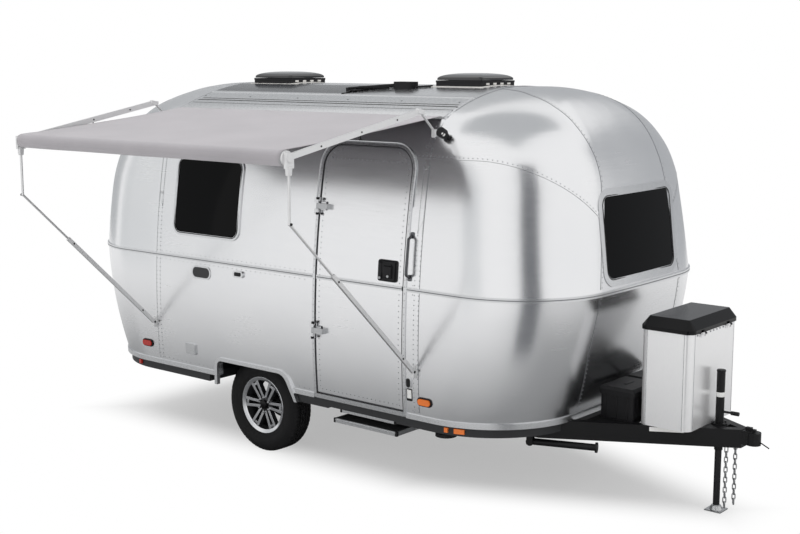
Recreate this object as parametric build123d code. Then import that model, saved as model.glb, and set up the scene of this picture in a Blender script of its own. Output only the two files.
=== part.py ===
"""Single-axle travel caravan with a riveted aluminium body.

Millimetres. +X is forward to the hitch, +Y the street side, +Z up.
The origin is on the ground, on the centreline, under the axle.
"""
from build123d import *
from math import asin, atan2, cos, degrees, pi, radians, sin, sqrt, tan
import os

# ---- driving dimensions -------------------------------------------------
# wheels
TYRE_R = 372.0
TYRE_W = 225.0
TYRE_OUT_Y = 1040.0
RIM_R = 203.0
RIM_FLANGE_R = 228.0
RIM_SPOKES = 6
SPOKE_W = 22.0
SPOKE_HALF_GAP = 22.0
SPINDLE_R = 20.0
SPINDLE_FIT = 0.05
DRUM_R = 132.0
DRUM_FIT = 8.0
DRUM_GAP = 4.0
RIM_EDGE = 24.0
RIM_LIP_W = 7.0
RIM_SEAT_W = 14.0
RIM_WELL_DEPTH = 14.0
RIM_WELL_IN = 50.0
RIM_WELL_OUT = 40.0
RIM_WALL = 9.0
RIM_FACE_IN = 12.0
HUB_R = 62.0
HUB_FACE_R = 72.0
HUB_FACE_T = 26.0
HUB_FACE_IN = 8.0
HUB_CAP_R = 34.0
HUB_CAP_OUT = 4.0
HUB_IN_Y = 750.0
SPOKE_MID_R = 118.0
SPOKE_LEN = 150.0
SPOKE_T = 30.0
SPOKE_IN = 3.0
SPOKE_SPLAY = 3.0
SPINDLE_END = 75.0
SPINDLE_ROOM = 3.0
TYRE_WAIST_R = 298.0
TYRE_SHOULDER_R = 350.0
TYRE_SHOULDER_W = 20.0
TYRE_BLEND_R = 366.0
TYRE_BLEND_W = 30.0
TYRE_TREAD_IN = 50.0
BEAD_FIT = 0.6

# body cross-section
SILL_Z = 610.0
BELT_Z = 1509.0
BODY_HALF_W = 1234.0
WALL_ARC_R = 6270.0
WALL_ARC_Z = 1110.0
SHOULDER_Z = 2400.0
SHOULDER_R = 420.0
ROOF_Z = 2866.0
WALL_T = 45.0

# body ends: outward distances from the axle plane
SEAM_FRONT = 1726.0
SEAM_REAR = 960.0
NOSE_BELT_X = 2772.0
NOSE_LEAN_X = 2694.0
NOSE_LEAN_Z = 2170.0
NOSE_TOP_R = 788.0
TAIL_BELT_X = 2052.0
TAIL_LEAN_X = 2028.0
TAIL_LEAN_Z = 1982.0
TAIL_TOP_R = 926.0
TUCK_R = 3500.0
TUCK_DEG = 6.8
CORNER_R = 695.0
CORNER_SHARE = 0.65
END_ARC_R = 15000.0
END_ARC_SHARE = 12.0
END_ARC_LEAST = 300.0

# chassis
RAIL_H = 127.0
RAIL_W = 60.0
RAIL_Y = 700.0
REAR_RAIL_X = -1800.0
FRAME_KNEE_X = 2376.0
FRAME_NOSE_X = 3560.0
FRAME_NOSE_HALF = 43.0
FRAME_TIP_HALF = 2.0
AXLE_X = 150.0
AXLE_TUBE = 76.0
ARM_CLEAR = 5.0
ARM_T = 30.0
ARM_ROOT_R = 38.0
ARM_TIP_R = 34.0
BACKPLATE_T = 6.0
TRAY_MARGIN = 15.0
JACK_PLATE_HALF = 60.0
CROSS_XS = (-1300.0, -520.0, 700.0, 1500.0)
CROSS_W = 50.0
PLATE_T = 8.0
JACK_HOLE_FIT = 0.3
REAR_BAR_OVER = 80.0
DECK_T = 45.0
BELLY_DROP = 72.0
BELLY_INSET = 14.0

# wheel housings and arches
WELL_REAR_X = -400.0
WELL_FRONT_X = 540.0
WELL_Y = 765.0
WELL_TOP_Z = 800.0
WELL_T = 12.0
ARCH_TOP_Z = 731.0
ARCH_TOP_X = (-274.0, 446.0)
ARCH_FOOT_X = (-277.0, 560.0)
ARCH_FRONT_R = 106.0
ARCH_REAR_R = 44.0

# openings in the walls
WINDOW_R = 75.0
WINDOW_FRAME_W = 28.0
WINDOW_PROUD = 9.0
GLASS_T = 6.0
GLASS_OUT = 3.0
WINDOW_LINER = 12.0
SIDE_WINDOW = (-770.0, -40.0, 1700.0, 2300.0)
END_WINDOW = (-472.0, 472.0, 1584.0, 2161.0)
END_FRAME_W = 42.0
DOOR_X0 = 790.0
DOOR_X1 = 1590.0
DOOR_Z0 = 655.0
DOOR_Z1 = 2452.0
DOOR_R = 150.0
DOOR_GAP = 12.0
DOOR_SKIN_T = 20.0
DOOR_REBATE = 18.0
DOOR_FRAME_W = 24.0
DOOR_FRAME_PROUD = 7.0
LATCH_PLATE = (1372.0, 1540.0, 1545.0, 1695.0, 18.0, 10.0)
LATCH_PADDLE = (1388.0, 1500.0, 1600.0, 1672.0, 12.0, 24.0)
GRAB_IN = 24.0
GRAB_Z = (1590.0, 1880.0)
GRAB_STAND = 45.0
GRAB_RISE = 25.0
GRAB_R = 9.0
GRAB_BEND_R = 18.0
GRAB_FOOT = (16.0, 22.0, 10.0, 6.0)
THRESHOLD_PROUD = 12.0

# door hinges, on one straight line that leans with the wall
HINGE_LOW_Z = 1120.0
HINGE_HIGH_Z = 2020.0
HINGE_STAND = 30.0
HINGE_LEN = 120.0
HINGE_FIXED_W = 28.0
HINGE_LEAF_W = 95.0
HINGE_DEPTH = (-6.0, 60.0)
HINGE_R = 9.0
PIN_R = 4.0
PIN_FIT = 0.06

# trims
BELT_H = 30.0
BELT_PROUD = 8.0
SILL_H = 36.0
SILL_PROUD = 9.0
SILL_DROP = 6.0
TRIM_SINK = 10.0
ARCH_TRIM_W = 28.0

# awning
AWNING_X0 = -992.0
AWNING_X1 = 1713.0
ROLLER_Y = -2442.0
ROLLER_Z = 2478.0
ROLLER_R = 50.0
ROLLER_CORE_R = 32.0
FABRIC_T = 4.0
RAIL_LOW_Y = -900.0
RAIL_HIGH_Y = -600.0
KNEE_Z = 2083.0
ARM_FOOT_Z = 952.0
RAFTER_END_Y = -1187.0
RAFTER_END_Z = 2716.0
STRUT_WALL_Z = 2569.0
AWNING_RAIL_W = 28.0
AWNING_RAIL_H = 14.0
AWNING_RAIL_SHARE = 0.7
AWNING_EDGE_SHARE = 0.6
SEAM_GAP = 6.0
HEAD_T = 24.0
HEAD_BOX = (30.0, 34.0, 60.0, 34.0)
CORE_FLANGE_T = 16.0
RAFTER_W = 20.0
RAFTER_H = 38.0
RAFTER_UP = 8.0
STRUT_R = 8.0
ARM_PAD_OUT = 26.0
ARM_PAD_IN = 20.0
STRUT_PAD = (12.0, 30.0, 22.0)
FOOT_PAD = (14.0, 42.0, 30.0)
FOOT_STAND = 24.0
FOOT_PAD_OUT = 34.0
POST_R = 9.0
POST_LAP = 20.0
KNEE_R = 11.0
ARM_THIN_R = 8.0
ARM_THIN_SHARE = 0.36
ARM_LAP_SHARE = 0.04
ARM_THICK_W = 20.0
ARM_THICK_H = 28.0

# hitch end
JACK_X = 3378.0
JACK_TUBE_R = 28.5
JACK_LEG_R = 23.0
JACK_TOP_Z = 989.0
JACK_LOW_Z = 430.0
JACK_FIT = 0.08
JACK_FOOT = 120.0
JACK_FOOT_T = 8.0
JACK_FOOT_BOSS_R = 44.0
JACK_FOOT_BOSS_H = 26.0
JACK_FOOT_SLOPE = 22.0
JACK_LEG_LOW_Z = 6.0
JACK_LEG_TOP_Z = 620.0
JACK_CAP_T = 12.0
JACK_FLANGE_R = 54.0
JACK_FLANGE_T = 10.0
CRANK_Z = 700.0
CRANK_R = 8.0
CRANK_REACH = 130.0
GRIP_R = 14.0
GRIP_SPAN = (84.0, 138.0)
COUPLER_LOW = 36.0
COUPLER_TOP = 4.0
COUPLER_NOSE_TOP = 14.0
COUPLER_NOSE_OVER = 6.0
BALL_FIT = 0.4
LATCH_HALF_W = 13.0
LATCH_H = 20.0
LEVER_R = 4.0
LEVER_REACH = 62.0
LEVER_Z = (10.0, -42.0)
BALL_R = 25.4
BALL_X = 3628.0
GAS_X0 = 2945.0
GAS_X1 = 3321.0
GAS_HALF_Y = 343.0
GAS_TOP_Z = 1285.0
GAS_T = 3.0
GAS_LID_H = 90.0
GAS_CORNER_R = 58.0
GAS_LID_LIP = 9.0
GAS_LID_SIDE_H = 26.0
GAS_LID_LAP = 14.0
GAS_LID_T = 4.0
GAS_LID_SLOPE = 38.0
GAS_HINGE_YS = (-190.0, 190.0)
GAS_HINGE_LEN = 84.0
GAS_HINGE_DROP = 4.0
GAS_HINGE_ARM = (22.0, 18.0)
GAS_KNOB_R = 13.0
GAS_KNOB_LEN = 22.0
BOTTLE_Y = 165.0
BOTTLE_R = 152.0
BOTTLE_FOOT = (112.0, 24.0)
BOTTLE_SIDE_H = 380.0
BOTTLE_DOME_H = 60.0
BOTTLE_COLLAR = (88.0, 82.0, 110.0)
BOTTLE_VALVE = (18.0, 70.0)
BATTERY_TUB_IN = 10.0
BATTERY_TUB_H = 170.0
BATTERY_LID_H = 34.0
BATTERY_TUB_R = 18.0
BATTERY_LID_R = 22.0
BATTERY_SLOPE = 40.0
BATTERY_X0 = 2640.0
BATTERY_X1 = 2915.0
BATTERY_HALF_Y = 360.0
BATTERY_TOP_Z = 835.0
BATTERY_GAP = 12.0
CHAIN_X = 3470.0
CHAIN_Y = 52.0
CHAIN_LINKS = 12
LINK_LEN = 52.0
LINK_W = 30.0
LINK_WIRE = 8.0
LINK_PLAY = 0.6
LINK_CORNER_SHARE = 0.55
CHAIN_STAGGER = 9.0

# roof
VENT_SIDE = 420.0
VENT_XS = (-640.0, 1300.0)
VENT_BASE_TOP = 2902.0
VENT_LID_H = 52.0
VENT_WALL = 26.0
VENT_HOLE_IN = 32.0
VENT_LID_OVER = 3.0
VENT_LID_R = 30.0
VENT_LID_GAP = 4.0
VENT_LID_SIDE_H = 24.0
VENT_LID_T = 10.0
VENT_LID_SLOPE = 50.0
VENT_HINGE_OUT = 12.0
VENT_HINGE_RISE = 14.0
VENT_HINGE_LEN = 90.0
VENT_LUG_Y = (17.0, 45.0)
VENT_TAB_HALF = 13.0
VENT_LUG_H = 44.0
VENT_LUG_DROP = 5.0
VENT_KNUCKLE = (4.0, 16.0, (-3.0, 3.0))
SOLAR = (-958.0, 400.0, -565.0, -285.0)
SOLAR_T = 4.0
ANTENNA_X = 870.0
ANTENNA_Y = -300.0
ANTENNA_HALF = (85.0, 55.0)
ANTENNA_TALL = 46.0
ANTENNA_CORNER_R = 20.0
MAST_Z = 26.0
MAST_TIP = (440.0, -470.0, 22.0)
MAST_R = 9.0
STAY_TIP = (500.0, -420.0, 24.0)
STAY_R = 6.0
MAST_REST = (14.0, 60.0, 60.0, 6.0)

# step
STEP_LINK = 200.0
STEP_REST_DEG = 16.0
STEP_OUT_DEG = 109.0
STEP_PIVOT_Y = -980.0
STEP_PIVOT_Z = 535.0
STEP_PIN_R = 5.0
STEP_X0 = 915.0
STEP_X1 = 1470.0
STEP_PLATE = 6.0
STEP_PITCH = 9.0
STEP_ROOF_Z = 550.0
STEP_ROOM = 45.0
STEP_HANGER = (13.0, 60.0)
STEP_LINK_R = 12.0
STEP_ARM_R = 11.0
STEP_ARM_Y = -960.0
STEP_TREAD_BACK_Y = -930.0
STEP_TREAD_H = 32.0
STEP_TREAD_T = 4.0
STEP_TREAD_TOP_T = 5.0

# stabilisers
STAB_LEN = 470.0
STAB_PIVOT_Z = 436.0
STAB_R = 24.0
STAB_EYE_R = 28.0
STAB_SHOE_R = 36.0
STAB_SHOE_T = 14.0
STAB_PIN_R = 6.0
STAB_GAP = 3.0
STAB_LUG_T = 8.0
STAB_LUG_W = 44.0
STAB_LUG_DROP = 16.0

# waste outlet under the floor
DRAIN_X = 1820.0
DRAIN_Y = -1020.0
DRAIN_R = 42.0
DRAIN_CAP_R = 76.0
DRAIN_LOW_Z = 468.0
DRAIN_CAP_T = 26.0

# lamp above the door
PORCH_X = 1815.0
PORCH_Z = 2548.0
PORCH_TILT = 25.0
PORCH_SINK = 14.0
PORCH_NECK = 40.0
PORCH_NECK_R = 20.0
PORCH_REACH = 82.0
PORCH_R = 34.0

# lamps on the skirt
SKIRT_LAMP_H = 34.0
SKIRT_LAMP_T = 30.0
SKIRT_LAMP_OUT = 2.0

# general clearances
CLEAR = 0.5
SEAT = 0.2

os.makedirs("parts", exist_ok=True)


# ---- small helpers ------------------------------------------------------
def save(name, *solids):
    """write one node; several solids that don't touch share its file"""
    shape = solids[0] if len(solids) == 1 else Compound(children=list(solids))
    shape.label = name
    export_step(shape, "parts/" + name + ".step")


def box(x0, x1, y0, y1, z0, z1):
    return Pos((x0 + x1) / 2, (y0 + y1) / 2, (z0 + z1) / 2) * Box(x1 - x0, y1 - y0, z1 - z0)


def rod(p, q, r):
    """round bar between two points"""
    p, q = Vector(p), Vector(q)
    plane = Plane(origin=p, z_dir=q - p)
    return extrude(plane * Circle(r), (q - p).length)


def bar(p, q, w, h, up=(1, 0, 0)):
    """flat bar between two points: w along up, h across it"""
    p, q = Vector(p), Vector(q)
    plane = Plane(origin=p, x_dir=Vector(up), z_dir=q - p)
    return extrude(plane * Rectangle(w, h), (q - p).length)


def mirror_y(shape):
    return mirror(shape, about=Plane.XZ)


def disc(x, y, z, r, y1):
    """round bar along Y from y to y1"""
    return rod((x, y, z), (x, y1, z), r)


def round_bar(r, z0, z1):
    """round bar along Z, on the axis"""
    return Pos(0, 0, z0) * extrude(Circle(r), z1 - z0)


# ---- body form ----------------------------------------------------------
class Arc:
    """arc of a half profile: centre (u, z), radius, start and end angle"""

    def __init__(self, u, z, r, a0, a1):
        self.u, self.z, self.r, self.a0, self.a1 = u, z, r, a0, a1

    def at(self, a, off=0.0):
        return (self.u + (self.r - off) * cos(a), self.z + (self.r - off) * sin(a))

    def reach(self, z, off=0.0):
        s = (z - self.z) / (self.r - off)
        return self.u + (self.r - off) * sqrt(max(0.0, 1.0 - s * s))

    def top(self, off=0.0):
        return self.at(self.a1, off)[1]


def crown_arc(u0, u, z, r, top):
    """arc centred on u0 that reaches the height top and meets the circle (u, z, r) tangentially"""
    du = u - u0
    centre = ((top - r) ** 2 - du ** 2 - z ** 2) / (2 * (top - r - z))
    touch = atan2(z - centre, du)
    return Arc(u0, centre, top - centre, touch, pi / 2), touch


def side_profile():
    wall_u = BODY_HALF_W - WALL_ARC_R
    lean = asin((SHOULDER_Z - WALL_ARC_Z) / WALL_ARC_R)
    foot = asin((SILL_Z - WALL_ARC_Z) / WALL_ARC_R)
    u = wall_u + (WALL_ARC_R - SHOULDER_R) * cos(lean)
    z = WALL_ARC_Z + (WALL_ARC_R - SHOULDER_R) * sin(lean)
    roof, touch = crown_arc(0.0, u, z, SHOULDER_R, ROOF_Z)
    return [Arc(wall_u, WALL_ARC_Z, WALL_ARC_R, foot, lean), Arc(u, z, SHOULDER_R, lean, touch), roof]


SIDE = side_profile()


def half_width(z, off=0.0):
    for arc in SIDE:
        if z <= arc.top(off) or arc is SIDE[-1]:
            return arc.reach(z, off)


class End:
    """one end of the body: outward distance of its face at each height"""

    def __init__(self, sign, seam, belt_x, lean_x, lean_z, top_r):
        self.sign, self.seam = sign, seam
        self.belt_x, self.lean_x, self.lean_z = belt_x, lean_x, lean_z
        tuck = radians(TUCK_DEG)
        self.tuck = Arc(belt_x - TUCK_R * cos(tuck), BELT_Z + TUCK_R * sin(tuck), TUCK_R, 0, 0)
        self.lean = atan2(belt_x - lean_x, lean_z - BELT_Z)
        u = lean_x - top_r * cos(self.lean)
        z = lean_z - top_r * sin(self.lean)
        self.roof, touch = crown_arc(seam, u, z, top_r, ROOF_Z)
        self.shoulder = Arc(u, z, top_r, self.lean, touch)

    def reach(self, z, off=0.0, upper=True):
        if z < BELT_Z or (z == BELT_Z and not upper):
            return self.tuck.reach(z, off)
        if z <= self.shoulder.at(self.lean, off)[1]:
            drop = (z - BELT_Z) / (self.lean_z - BELT_Z)
            return self.belt_x + (self.lean_x - self.belt_x) * drop - off / cos(self.lean)
        if z <= self.shoulder.top(off):
            return self.shoulder.reach(z, off)
        return self.roof.reach(z, off)

    def turns(self, z, off=0.0, upper=True):
        """plan of this end at one height: side end, corner middle, corner end, face middle"""
        a = self.reach(z, off, upper)
        b = half_width(z, off)
        rc = min(CORNER_R - off, CORNER_SHARE * b)
        rf = min(END_ARC_R - off, END_ARC_SHARE * b + END_ARC_LEAST)
        phi = asin((b - rc) / (rf - rc))
        cx = a - rf + sqrt((rf - rc) ** 2 - (b - rc) ** 2)
        mid = (pi / 2 + phi) / 2
        side = (cx, b)
        corner = (cx + rc * cos(mid), b - rc + rc * sin(mid))
        face = (cx + rc * cos(phi), b - rc + rc * sin(phi))
        return side, corner, face, (a, 0.0)


NOSE = End(1.0, SEAM_FRONT, NOSE_BELT_X, NOSE_LEAN_X, NOSE_LEAN_Z, NOSE_TOP_R)
TAIL = End(-1.0, SEAM_REAR, TAIL_BELT_X, TAIL_LEAN_X, TAIL_LEAN_Z, TAIL_TOP_R)


def end_edges(end, z, off=0.0, upper=True):
    """curb side to street side round one end"""
    side, corner, face, mid = end.turns(z, off, upper)
    s = end.sign

    def p(point, y_sign):
        return (s * point[0], y_sign * point[1], z)

    return [ThreePointArc(p(side, -1), p(corner, -1), p(face, -1)),
            ThreePointArc(p(face, -1), p(mid, 1), p(face, 1)),
            ThreePointArc(p(face, 1), p(corner, 1), p(side, 1))]


def plan_wire(z, off=0.0):
    """whole plan outline of the body at one height"""
    front = end_edges(NOSE, z, off, False)
    rear = end_edges(TAIL, z, off, False)
    curb = Line(rear[0] @ 0, front[0] @ 0)
    street = Line(front[2] @ 1, rear[2] @ 1)
    return Wire([curb] + front + [street] + rear)


def plan_slab(z0, z1, off, z_plan=None):
    """upright slab with the body's plan outline"""
    wire = plan_wire(z0 if z_plan is None else z_plan, off)
    return extrude(Pos(0, 0, z0 - wire.center().Z) * Face(wire), z1 - z0, dir=(0, 0, 1))


def cap_section(end, z, off, upper):
    """closed section of an end beyond its seam plane"""
    edges = end_edges(end, z, off, upper)
    b = half_width(z, off)
    x = end.sign * end.seam
    near = Line((x, -b, z), edges[0] @ 0)
    far = Line(edges[2] @ 1, (x, b, z))
    close = Line((x, b, z), (x, -b, z))
    return Wire([near] + edges + [far, close])


LOWER_LEVELS = (SILL_Z, 830.0, 1060.0, 1290.0, BELT_Z)
UPPER_LEVELS = (BELT_Z, 1530.0, 1570.0, 1640.0, 1740.0, 1860.0, 1980.0, 2105.0, 2220.0, 2330.0, 2420.0)
CROWN_DEPTHS = (330.0, 290.0, 250.0, 212.0, 177.0, 146.0, 118.0, 93.0,
                71.0, 52.0, 36.0, 23.0, 13.0, 6.0, 2.0)


def lower_form(end, off):
    return Solid.make_loft([cap_section(end, z, off, False) for z in LOWER_LEVELS])


def upper_form(end, off):
    crown = ROOF_Z - off
    levels = list(UPPER_LEVELS) + [crown - d for d in CROWN_DEPTHS]
    return Solid.make_loft([cap_section(end, z, off, True) for z in levels])


def middle_form(off, x0=-SEAM_REAR, x1=SEAM_FRONT):
    """body of constant section, between the seams by default"""
    wall, shoulder, roof = SIDE
    z0 = SILL_Z
    foot = (half_width(z0, off), z0)
    p1, p2 = wall.at(wall.a1, off), shoulder.at(shoulder.a1, off)
    m0 = wall.at((asin((z0 - wall.z) / (wall.r - off)) + wall.a1) / 2, off)
    m1 = shoulder.at((shoulder.a0 + shoulder.a1) / 2, off)
    crown = roof.at(pi / 2, off)

    def pt(p, s):
        return (x0, s * p[0], p[1])

    edges = [ThreePointArc(pt(foot, 1), pt(m0, 1), pt(p1, 1)),
             ThreePointArc(pt(p1, 1), pt(m1, 1), pt(p2, 1)),
             ThreePointArc(pt(p2, 1), pt(crown, 1), pt(p2, -1)),
             ThreePointArc(pt(p2, -1), pt(m1, -1), pt(p1, -1)),
             ThreePointArc(pt(p1, -1), pt(m0, -1), pt(foot, -1)),
             Line(pt(foot, -1), pt(foot, 1))]
    return extrude(Face(Wire(edges)), x1 - x0, dir=(1, 0, 0))


def rounded_hole(u0, u1, z0, z1, r, plane, depth, clear=0.0):
    """prism with rounded corners through a wall; u runs along the plane's x_dir"""
    w, h = u1 - u0 + 2 * clear, z1 - z0 + 2 * clear
    sketch = RectangleRounded(w, h, r + clear)
    return extrude(plane * Pos((u0 + u1) / 2, (z0 + z1) / 2) * sketch, depth)


WALL_PLANE = {-1: Plane(origin=(0, 0, 0), x_dir=(1, 0, 0), z_dir=(0, -1, 0)),
              1: Plane(origin=(0, 0, 0), x_dir=(-1, 0, 0), z_dir=(0, 1, 0))}
END_PLANE = {1: Plane(origin=(0, 0, 0), x_dir=(0, 1, 0), z_dir=(1, 0, 0)),
             -1: Plane(origin=(0, 0, 0), x_dir=(0, -1, 0), z_dir=(-1, 0, 0))}
FAR = 4000.0

MIDDLE_OUT = middle_form(0.0)
MIDDLE_IN = middle_form(WALL_T)
MIDDLE = MIDDLE_OUT - MIDDLE_IN
CAPS_OUT = {(e, u): (upper_form if u else lower_form)(e, 0.0) for e in (NOSE, TAIL) for u in (True, False)}
CAPS_IN = {(e, u): (upper_form if u else lower_form)(e, WALL_T) for e in (NOSE, TAIL) for u in (True, False)}


def side_window(sign, grow):
    x0, x1, z0, z1 = SIDE_WINDOW
    if sign > 0:
        x0, x1 = -x1, -x0
    return rounded_hole(x0 - grow, x1 + grow, z0 - grow, z1 + grow, WINDOW_R + grow, WALL_PLANE[sign], FAR)


def end_window(sign, grow):
    y0, y1, z0, z1 = END_WINDOW
    return rounded_hole(y0 - grow, y1 + grow, z0 - grow, z1 + grow, WINDOW_R + grow, END_PLANE[sign], FAR)


def door_prism(grow, foot=None):
    """the door's outline, round above and square below, its lower edge at the height foot"""
    x0, x1 = DOOR_X0 - grow, DOOR_X1 + grow
    foot = DOOR_Z0 - grow if foot is None else foot
    head = rounded_hole(x0, x1, foot, DOOR_Z1 + grow, DOOR_R + grow, WALL_PLANE[-1], FAR)
    return head + box(x0, x1, -FAR, 0, foot, foot + 2 * (DOOR_R + grow))


def arch_prism(grow=0.0):
    top, foot = ARCH_TOP_Z + grow, SILL_Z - BELLY_DROP - 2.0
    outline = Polyline((ARCH_FOOT_X[0] - grow, foot), (ARCH_TOP_X[0] - grow, top),
                       (ARCH_TOP_X[1] + grow, top), (ARCH_FOOT_X[1] + grow, foot), close=True)
    sketch = make_face(outline)
    for end, r in ((-1, ARCH_FRONT_R), (0, ARCH_REAR_R)):
        corner = sketch.vertices().group_by(Axis.Y)[-1].sort_by(Axis.X)[end]
        sketch = fillet(corner, r + grow)
    return extrude(Plane(origin=(0, -FAR, 0), x_dir=(1, 0, 0), z_dir=(0, -1, 0)) * sketch, -2 * FAR)


SPLIT_Y = -RAIL_LOW_Y
ROOF_BLOCK = box(-FAR, FAR, -SPLIT_Y, SPLIT_Y, 2 * SILL_Z, FAR)
CURB_BLOCK = box(-FAR, FAR, -FAR, -SPLIT_Y, 0, FAR)
STREET_BLOCK = box(-FAR, FAR, SPLIT_Y, FAR, 0, FAR)

ARCH = arch_prism()


def build_shell():
    curb = (MIDDLE & CURB_BLOCK) - side_window(-1, 0) - door_prism(DOOR_GAP) - ARCH
    street = (MIDDLE & STREET_BLOCK) - side_window(1, 0) - ARCH
    roof = MIDDLE & ROOF_BLOCK
    for x in VENT_XS:
        half = VENT_SIDE / 2 - VENT_HOLE_IN
        roof = roof - box(x - half, x + half, -half, half, 0, FAR)
    save("shell_curb_wall", curb)
    save("shell_street_wall", street)
    save("shell_roof", roof)
    names = {(NOSE, True): "shell_front_upper", (NOSE, False): "shell_front_lower",
             (TAIL, True): "shell_rear_upper", (TAIL, False): "shell_rear_lower"}
    for key, name in names.items():
        solid = CAPS_OUT[key] - CAPS_IN[key]
        if key[1]:
            solid = solid - end_window(int(key[0].sign), 0)
        save(name, solid)
    return curb, street


def band(off, span=None):
    """space between the skin and an offset of it; negative off stands outside"""
    x0, x1 = span or (-SEAM_REAR, SEAM_FRONT)
    outer, inner = (middle_form(off, x0, x1), middle_form(0.0, x0, x1))
    return outer - inner if off < 0 else inner - outer


def skin_pad(sign, x0, x1, z0, z1, r, proud, sink=SEAT):
    """plate that follows the side wall, with rounded corners"""
    if sign > 0:
        x0, x1 = -x1, -x0
    prism = rounded_hole(x0, x1, z0, z1, r, WALL_PLANE[sign], FAR)
    span = (min(sign * -x0, sign * -x1) - 10, max(sign * -x0, sign * -x1) + 10)
    layer = middle_form(-proud, *span) - middle_form(-sink, *span)
    return layer & prism


# ---- shell trims --------------------------------------------------------
BODY_OUT = [MIDDLE_OUT] + list(CAPS_OUT.values())
BODY_IN = [MIDDLE_IN] + list(CAPS_IN.values())


def cut_all(shape, tools):
    for tool in tools:
        shape = shape - tool
    return shape


def hoop(z0, z1, proud, z_plan, inner):
    """moulding round the whole body, in lengths that meet at the seams: nose, tail, middle"""
    ring = plan_slab(z0, z1, -proud, z_plan) - plan_slab(z0, z1, inner, z_plan)
    nose = ring & box(SEAM_FRONT + SEAT, FAR, -FAR, FAR, 0, FAR)
    tail = ring & box(-FAR, -SEAM_REAR - SEAT, -FAR, FAR, 0, FAR)
    middle = (ring & box(-SEAM_REAR, SEAM_FRONT, -FAR, FAR, 0, FAR)) - MIDDLE_OUT
    for upper in (True, False):
        nose = nose - CAPS_OUT[(NOSE, upper)]
        tail = tail - CAPS_OUT[(TAIL, upper)]
    return nose, tail, middle


def build_belt():
    half = BELT_H / 2
    nose, tail, middle = hoop(BELT_Z - half, BELT_Z + half, BELT_PROUD, BELT_Z, TRIM_SINK)
    edge = DOOR_GAP + DOOR_FRAME_W
    gate = box(DOOR_X0 - edge, DOOR_X1 + edge, -FAR, 0, SILL_Z, FAR)
    save("belt_moulding", nose, tail, middle - gate)
    leaf_gate = box(DOOR_X0, DOOR_X1, -FAR, 0, SILL_Z, FAR)
    return middle & leaf_gate


def build_sill(frame):
    top = SILL_Z + SILL_H - SILL_DROP
    nose, tail, ring = hoop(SILL_Z - SILL_DROP, top, SILL_PROUD, top, TRIM_SINK)
    ring = ring - arch_prism(ARCH_TRIM_W) - door_prism(DOOR_GAP + DOOR_FRAME_W, 0.0)
    lip = arch_prism(ARCH_TRIM_W) - ARCH
    for sign in (-1, 1):
        y0, y1 = sorted((sign * (half_width(SILL_Z) - 10.0), sign * (BODY_HALF_W + 3.0)))
        slab = box(WELL_REAR_X, WELL_FRONT_X + 2 * ARCH_TRIM_W, y0, y1, SILL_Z - BELLY_DROP, WELL_TOP_Z)
        ring = ring + ((lip & slab) - MIDDLE_OUT)
    save("sill_moulding", nose - frame, tail - frame, ring - frame)


def well_box(sign, grow):
    y0, y1 = sorted((sign * (WELL_Y - grow), sign * 2 * BODY_HALF_W))
    return box(WELL_REAR_X - grow, WELL_FRONT_X + grow, y0, y1, 0, WELL_TOP_Z + grow)


def build_floor(frame):
    deck = plan_slab(SILL_Z, SILL_Z + DECK_T, WALL_T + CLEAR, SILL_Z)
    belly = plan_slab(SILL_Z - BELLY_DROP, SILL_Z, BELLY_INSET, SILL_Z)
    wells = []
    core = middle_form(WALL_T)
    for sign in (-1, 1):
        deck = deck - well_box(sign, 0.0)
        belly = belly - well_box(sign, 0.0)
        shell = (well_box(sign, 0.0) - well_box(sign, -WELL_T)) & core
        wells.append(shell)
    save("floor_deck", deck)
    recess = box(STEP_X0 - STEP_ROOM, STEP_X1 + STEP_ROOM, -FAR, -RAIL_Y + RAIL_W, 0, STEP_ROOF_Z)
    save("belly_pan", belly - frame - recess)
    save("wheel_wells", *wells)


def build_windows():
    frames, panes = [], []
    rim = WINDOW_LINER
    for sign in (-1, 1):
        flange = (side_window(sign, WINDOW_FRAME_W / 2) - side_window(sign, -rim)) & band(-WINDOW_PROUD)
        liner = (side_window(sign, 0) - side_window(sign, -rim)) & MIDDLE
        frames.append(flange + liner)
        layer = middle_form(-GLASS_OUT) - middle_form(GLASS_T - GLASS_OUT)
        panes.append(layer & side_window(sign, -rim))
    for end in (NOSE, TAIL):
        sign = int(end.sign)
        out = CAPS_OUT[(end, True)]
        plate = upper_form(end, -WINDOW_PROUD / 2)
        flange = (end_window(sign, END_FRAME_W) - end_window(sign, -rim)) & (plate - out)
        ring = out - CAPS_IN[(end, True)]
        liner = (end_window(sign, 0) - end_window(sign, -rim)) & ring
        frames.append(flange + liner)
        layer = out - upper_form(end, GLASS_T)
        panes.append(layer & end_window(sign, -rim))
    save("window_frames", *frames)
    save("window_panes", *panes)


# ---- door ---------------------------------------------------------------
HINGE_X = DOOR_X0 - DOOR_GAP / 2
HINGE_LOW = Vector(HINGE_X, -(half_width(HINGE_LOW_Z) + HINGE_STAND), HINGE_LOW_Z)
HINGE_HIGH = Vector(HINGE_X, -(half_width(HINGE_HIGH_Z) + HINGE_STAND), HINGE_HIGH_Z)
HINGE_AXIS = (HINGE_HIGH - HINGE_LOW).normalized()


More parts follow.
